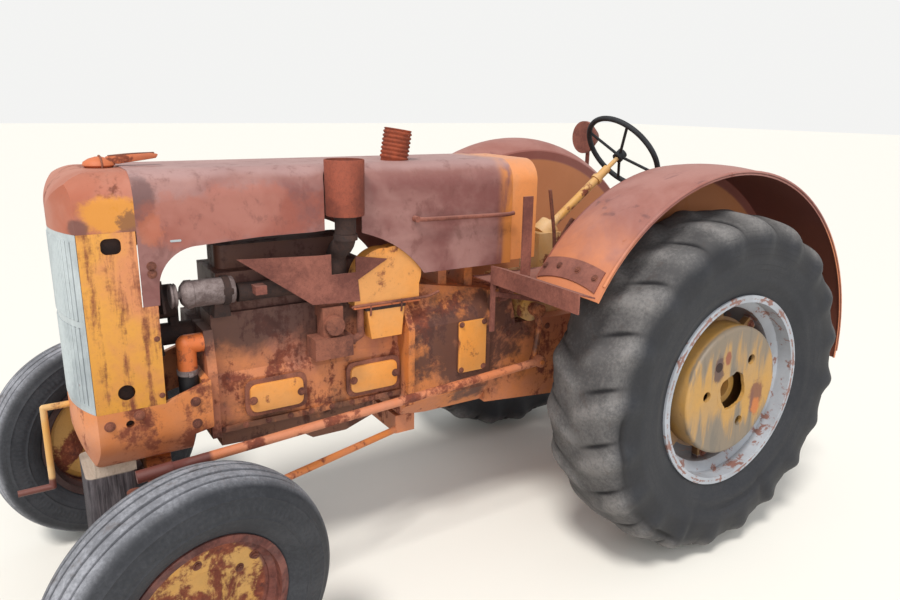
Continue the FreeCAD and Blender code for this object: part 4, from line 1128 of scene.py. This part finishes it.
class Recipe(Nodes):
    """A Geometry Nodes tree with named inputs."""

    def __init__(self, name, finish):
        super().__init__(bpy.data.node_groups.new(name, "GeometryNodeTree"))
        face = self.tree.interface
        face.new_socket("Points", in_out="INPUT", socket_type="NodeSocketGeometry")
        face.new_socket("Geometry", in_out="OUTPUT", socket_type="NodeSocketGeometry")
        self.entry = self.tree.nodes.new("NodeGroupInput")
        self.exit = self.tree.nodes.new("NodeGroupOutput")
        self.points = Signal(self.tree, self.entry.outputs["Points"])
        self.finish = finish
        self.values = {}

    def size(self, name, value):
        """A named input of the tree."""
        socket = self.tree.interface.new_socket(name, in_out="INPUT", socket_type="NodeSocketFloat")
        self.values[socket.identifier] = value
        return Signal(self.tree, self.entry.outputs[name])

    def finished(self, shape):
        whole = self.add("GeometryNodeRealizeInstances", inputs={0: shape})
        done = self.add("GeometryNodeSetMaterial",
                        inputs={0: whole, "Material": self.finish.material})
        self.tree.links.new(done.socket, self.exit.inputs[0])
        return self

    def grow(self, name, points, marks=None):
        """Runs the tree on loose points, each with its marks, and keeps the result as a plain mesh."""
        mesh = bpy.data.meshes.new(name + "_points")
        mesh.from_pydata([tuple(p) for p in points], [], [])
        for key, values in (marks or {}).items():
            flat = np.array([tuple(v) if hasattr(v, "__len__") else v for v in values], "f")
            wide = flat.ndim > 1
            layer = mesh.attributes.new(key, "FLOAT_VECTOR" if wide else "FLOAT", "POINT")
            layer.data.foreach_set("vector" if wide else "value", flat.reshape(-1))
        carrier = new_object(name + "_points", mesh)
        modifier = carrier.modifiers.new("grow", "NODES")
        modifier.node_group = self.tree
        for identifier, value in self.values.items():
            modifier[identifier] = value
        graph = bpy.context.evaluated_depsgraph_get()
        result = bpy.data.meshes.new_from_object(carrier.evaluated_get(graph))
        result.name = name
        bpy.data.objects.remove(carrier)
        return face_out(new_object(name, result))


def bolt_recipe(finish):
    """Washer, hexagon head and stud end on every point, along the point's own direction."""
    _, sizes = settings()
    recipe = Recipe("bolts", finish)
    head = recipe.size("Head radius", sizes.bolt_head)
    tall = recipe.size("Head height", sizes.bolt_head * 0.75)

    def disc(sides, radius, depth, lift):
        shape = recipe.add("GeometryNodeMeshCylinder",
                           inputs={"Vertices": sides, "Radius": radius, "Depth": depth})
        lifted = recipe.add("ShaderNodeCombineXYZ", inputs={2: lift})
        return recipe.add("GeometryNodeTransform", inputs={0: shape, "Translation": lifted})

    def mark(name, kind):
        return recipe.add("GeometryNodeInputNamedAttribute", {"data_type": kind}, {"Name": name})

    bolt = recipe.add("GeometryNodeJoinGeometry", inputs={0: [
        disc(14, head * 1.45, tall * 0.3, tall * 0.1), disc(6, head, tall, tall * 0.55),
        disc(8, head * 0.52, tall * 0.5, tall * 1.2)]})
    upright = recipe.add("FunctionNodeAlignRotationToVector", {"axis": "Z"},
                         {"Vector": mark("aim", "FLOAT_VECTOR")})
    spin = recipe.add("FunctionNodeRandomValue", {"data_type": "FLOAT"},
                      {2: 0, 3: 6.28, "Seed": SEED}, out=1)
    twist = recipe.add("FunctionNodeAxisAngleToRotation", inputs={"Axis": UP, "Angle": spin})
    turn = recipe.add("FunctionNodeRotateRotation", {"rotation_space": "LOCAL"},
                      {0: upright, 1: twist})
    return recipe.finished(recipe.add("GeometryNodeInstanceOnPoints", inputs={
        "Points": recipe.points, "Instance": bolt, "Rotation": turn,
        "Scale": mark("big", "FLOAT")}))


def bolt_places():
    """(node, start, aim, size, lift) of each bolt, for the rays that find its seat."""
    wanted = []

    def beside(node, hand, size, places, lift=0):
        for x, z in places:
            wanted.append((node, spot(x, hand * BESIDE, z), (0, -hand, 0), size, lift))

    for side, hand in SIDES:
        beside("engine_block", hand, 1, [(x, 824) for x in (365, 547, 760, 942)], 0.017)
        beside("engine_block", hand, 0.75, [(x, 728) for x in range(380, 1060, 84)])
        beside("side_panels", hand, 0.6, [(1254, 925), (1254, 1120)])
        beside("hood", hand, 0.95, [(1250, 1360), (1250, 1335)])
        wanted += [("fender_" + side, spot(-129, hand * y, ABOVE), (0, 0, -1), 0.9, 0.005)
                   for y in (512, 590, 690, 780)]
        beside("clutch_housing", hand, 0.8, [(-36, 792), (76, 792), (-36, 990), (76, 990)],
               0.007 * (hand > 0))
        beside("front_support", hand, 1.1, [(1150, 800), (1150, 880), (1330, 870), (1420, 850)])
        beside("gearbox", hand, 0.9, [(x, 900) for x in (-200, -300, -420)])
    for side, _ in SIDES:
        for end, number, first, circles in (("rear", 8, 0, ((0.318, 1.2),)),
                                            ("front", 6, 30, ((0.152, 0.9), (0.208, 1.1)))):
            centre, out, ahead, up = wheel_frame("%s_%s_spin" % (end, side))
            for i in range(number):
                ray = spoke(ahead, up, math.radians(360 / number * i + first))
                wanted += [("%s_wheel_%s" % (end, side), centre + out * WHEEL_CLEAR + ray * reach,
                            -out, size, 0) for reach, size in circles]
    return wanted


class TRACTOR_OT_bolts(bpy.types.Operator):
    """Sets the bolts on their faces"""
    bl_idname = "tractor.bolts"
    bl_label = "Bolts"

    def execute(self, context):
        recipe = bolt_recipe(FINISHES["rusty_iron"])
        groups = {}
        missed = []
        for node, start, aim, size, lift in bolt_places():
            try:
                place, normal = surface(node, start, aim)
            except RuntimeError as why:
                missed.append(str(why))
                continue
            seats = groups.setdefault(body_of(node), (node, [], [], []))
            seats[1].append(place + normal * lift)
            seats[2].append(normal)
            seats[3].append(size)
        if missed:
            raise RuntimeError("; ".join(missed))
        for body, (node, places, aims, scales) in groups.items():
            made = recipe.grow("bolts_" + body, places, {"aim": aims, "big": scales})
            adopt(made, node, "rusty_iron")
        return {"FINISHED"}


def fin_recipe(finish, length):
    """Upright fins that wander a little from side to side."""
    _, sizes = settings()
    recipe = Recipe("grille_fins", finish)
    width = recipe.size("Fin width", sizes.fin_width)
    wander = recipe.size("Wander", 0.0042)
    count = 26
    line = recipe.add("GeometryNodeMeshLine", inputs={
        "Count": count, "Start Location": (0, 0, -length / 2), "Offset": (0, 0, length / (count - 1))})
    lines = recipe.add("GeometryNodeInstanceOnPoints",
                       inputs={"Points": recipe.points, "Instance": line})
    loose = recipe.add("GeometryNodeRealizeInstances", inputs={0: lines})
    place = recipe.add("GeometryNodeInputPosition")
    long = recipe.vector("MULTIPLY", place, (3, 3, 5.5))
    noise = recipe.add("ShaderNodeTexNoise", inputs={"Vector": long, "Scale": 1.6, "Detail": 1})
    shift = recipe.add("ShaderNodeCombineXYZ", inputs={1: (noise - 0.5) * wander * 2})
    bent = recipe.add("GeometryNodeSetPosition", inputs={0: loose, "Offset": shift})
    curve = recipe.add("GeometryNodeMeshToCurve", inputs={0: bent})
    profile = recipe.add("GeometryNodeCurvePrimitiveCircle", inputs={"Resolution": 6, "Radius": width})
    return recipe.finished(recipe.add("GeometryNodeCurveToMesh",
                                      inputs={0: curve, 1: profile, "Fill Caps": True}))


class TRACTOR_OT_grille(bpy.types.Operator):
    """Covers the bowed grille with upright fins"""
    bl_idname = "tractor.grille"
    bl_label = "Grille fins"

    def execute(self, context):
        low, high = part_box("grille")
        half, bulge, edge, fins = 0.229, 0.058, 0.012, 38
        bow = (half * half + bulge * bulge) / (2 * bulge)
        middle = high[0] - bow
        for name, bottom, top in (("lower", low[2] + 0.02, 1.178), ("upper", 1.202, high[2] - 0.02)):
            recipe = fin_recipe(FINISHES["grille_paint"], top - bottom)
            points = []
            for i in range(fins):
                y = (i - (fins - 1) / 2) / ((fins - 1) / 2) * (half - edge)
                points.append((middle + math.sqrt(bow * bow - y * y) - 0.0005, y, (bottom + top) / 2))
            adopt(recipe.grow("grille_fins_" + name, points), "grille", "grille_paint")
        return {"FINISHED"}


# Stage

def add_camera():
    """The photo's camera, solved from the wheels, the hood and the floor line."""
    data = bpy.data.cameras.new("photo_camera")
    data.sensor_width = 36
    data.lens = 29.04
    data.clip_end = 200
    made = new_object("photo_camera", data)
    yaw, pitch, roll = (math.radians(angle) for angle in (32.398, 15.142, 0.918))
    ahead = Vector((-math.sin(yaw) * math.cos(pitch), -math.cos(yaw) * math.cos(pitch),
                    -math.sin(pitch)))
    right = ahead.cross(Vector(UP)).normalized()
    up = right.cross(ahead)
    right, up = spoke(right, up, roll), spoke(up, -right, roll)
    turn = Matrix((right, up, -ahead)).transposed().to_4x4()
    made.matrix_world = Matrix.Translation(Vector((1.621, 2.622, 1.869))) @ turn
    bpy.context.scene.camera = made


def add_lamp(name, kind, place, aim, energy, width, colour):
    """A sun with its width as an angle, or an area light with its width in metres."""
    data = bpy.data.lights.new(name, kind)
    data.energy = energy
    data.color = colour
    setattr(data, "angle" if kind == "SUN" else "size", width)
    made = new_object(name, data)
    made.location = place
    made.rotation_euler = (Vector(aim) - Vector(place)).to_track_quat("-Z", "Y").to_euler()


def add_world():
    """Cool light from all around; the camera, mirrors and glass see a pale grey."""
    world = bpy.data.worlds.new("studio")
    bpy.context.scene.world = world
    world.use_nodes = True
    nodes = Nodes(world.node_tree)
    nodes.tree.nodes.clear()
    output = nodes.tree.nodes.new("ShaderNodeOutputWorld")
    ambient = nodes.add("ShaderNodeBackground", inputs={0: (0.93, 0.97, 1, 1), 1: 0.62})
    seen = nodes.add("ShaderNodeBackground", inputs={0: (0.9, 0.9, 0.89, 1), 1: 1})
    camera, glossy, through = (nodes.add("ShaderNodeLightPath", out="Is %s Ray" % kind)
                               for kind in ("Camera", "Glossy", "Transmission"))
    plain = camera.most(glossy).most(through)
    mixed = nodes.add("ShaderNodeMixShader", inputs={0: plain, 1: ambient, 2: seen})
    nodes.tree.links.new(mixed.socket, output.inputs[0])


class TRACTOR_OT_stage(bpy.types.Operator):
    """Adds the pale floor, the lights and the camera"""
    bl_idname = "tractor.stage"
    bl_label = "Stage"

    def execute(self, context):
        _, sizes = settings()
        reach = sizes.floor_reach
        finish = Finish("floor", specular=0.2)
        finish.set("Base Color", tone(232, 229, 222))
        finish.set("Roughness", 0.95)
        corners = [(-reach, -reach, 0), (reach, -reach, 0), (reach, reach, 0), (-reach, reach, 0)]
        mesh_piece("floor", corners, [(0, 1, 2, 3)], finish, False)
        add_lamp("sun", "SUN", (3, 2.2, 6), (0, 0, 0), 2.5, math.radians(14), (1, 0.97, 0.92))
        add_lamp("fill", "AREA", (2, 5, 3.2), (0.2, 0, 0.8), 110, 3.5, (1, 1, 1))
        add_world()
        add_camera()
        context.scene.view_settings.view_transform = "Standard"
        return {"FINISHED"}


class TRACTOR_PT_panel(bpy.types.Panel):
    """Lists the tractor's pieces and settings"""
    bl_idname = "TRACTOR_PT_panel"
    bl_label = "Tractor"
    bl_space_type = "VIEW_3D"
    bl_region_type = "UI"
    bl_category = "Tractor"

    def draw(self, context):
        column = self.layout.column()
        for operator in OPERATORS:
            column.operator(operator.bl_idname)
        for group in (context.scene.tractor_colours, context.scene.tractor_sizes):
            for key in group.bl_rna.properties.keys():
                if key not in ("rna_type", "name"):
                    column.prop(group, key)


OPERATORS = (TRACTOR_OT_frame, TRACTOR_OT_tyres, TRACTOR_OT_exhaust, TRACTOR_OT_engine,
             TRACTOR_OT_sheet, TRACTOR_OT_wheels, TRACTOR_OT_bolts, TRACTOR_OT_grille,
             TRACTOR_OT_stage)
CLASSES = (TractorColours, TractorSizes, *OPERATORS, TRACTOR_PT_panel)


def register():
    for kind in CLASSES:
        bpy.utils.register_class(kind)
    bpy.types.Scene.tractor_colours = PointerProperty(type=TractorColours)
    bpy.types.Scene.tractor_sizes = PointerProperty(type=TractorSizes)


def unregister():
    del bpy.types.Scene.tractor_sizes
    del bpy.types.Scene.tractor_colours
    for kind in reversed(CLASSES):
        bpy.utils.unregister_class(kind)


def main():
    register()
    for operator in OPERATORS:
        group, name = operator.bl_idname.split(".")
        getattr(getattr(bpy.ops, group), name)()


if __name__ == "__main__":
    main()
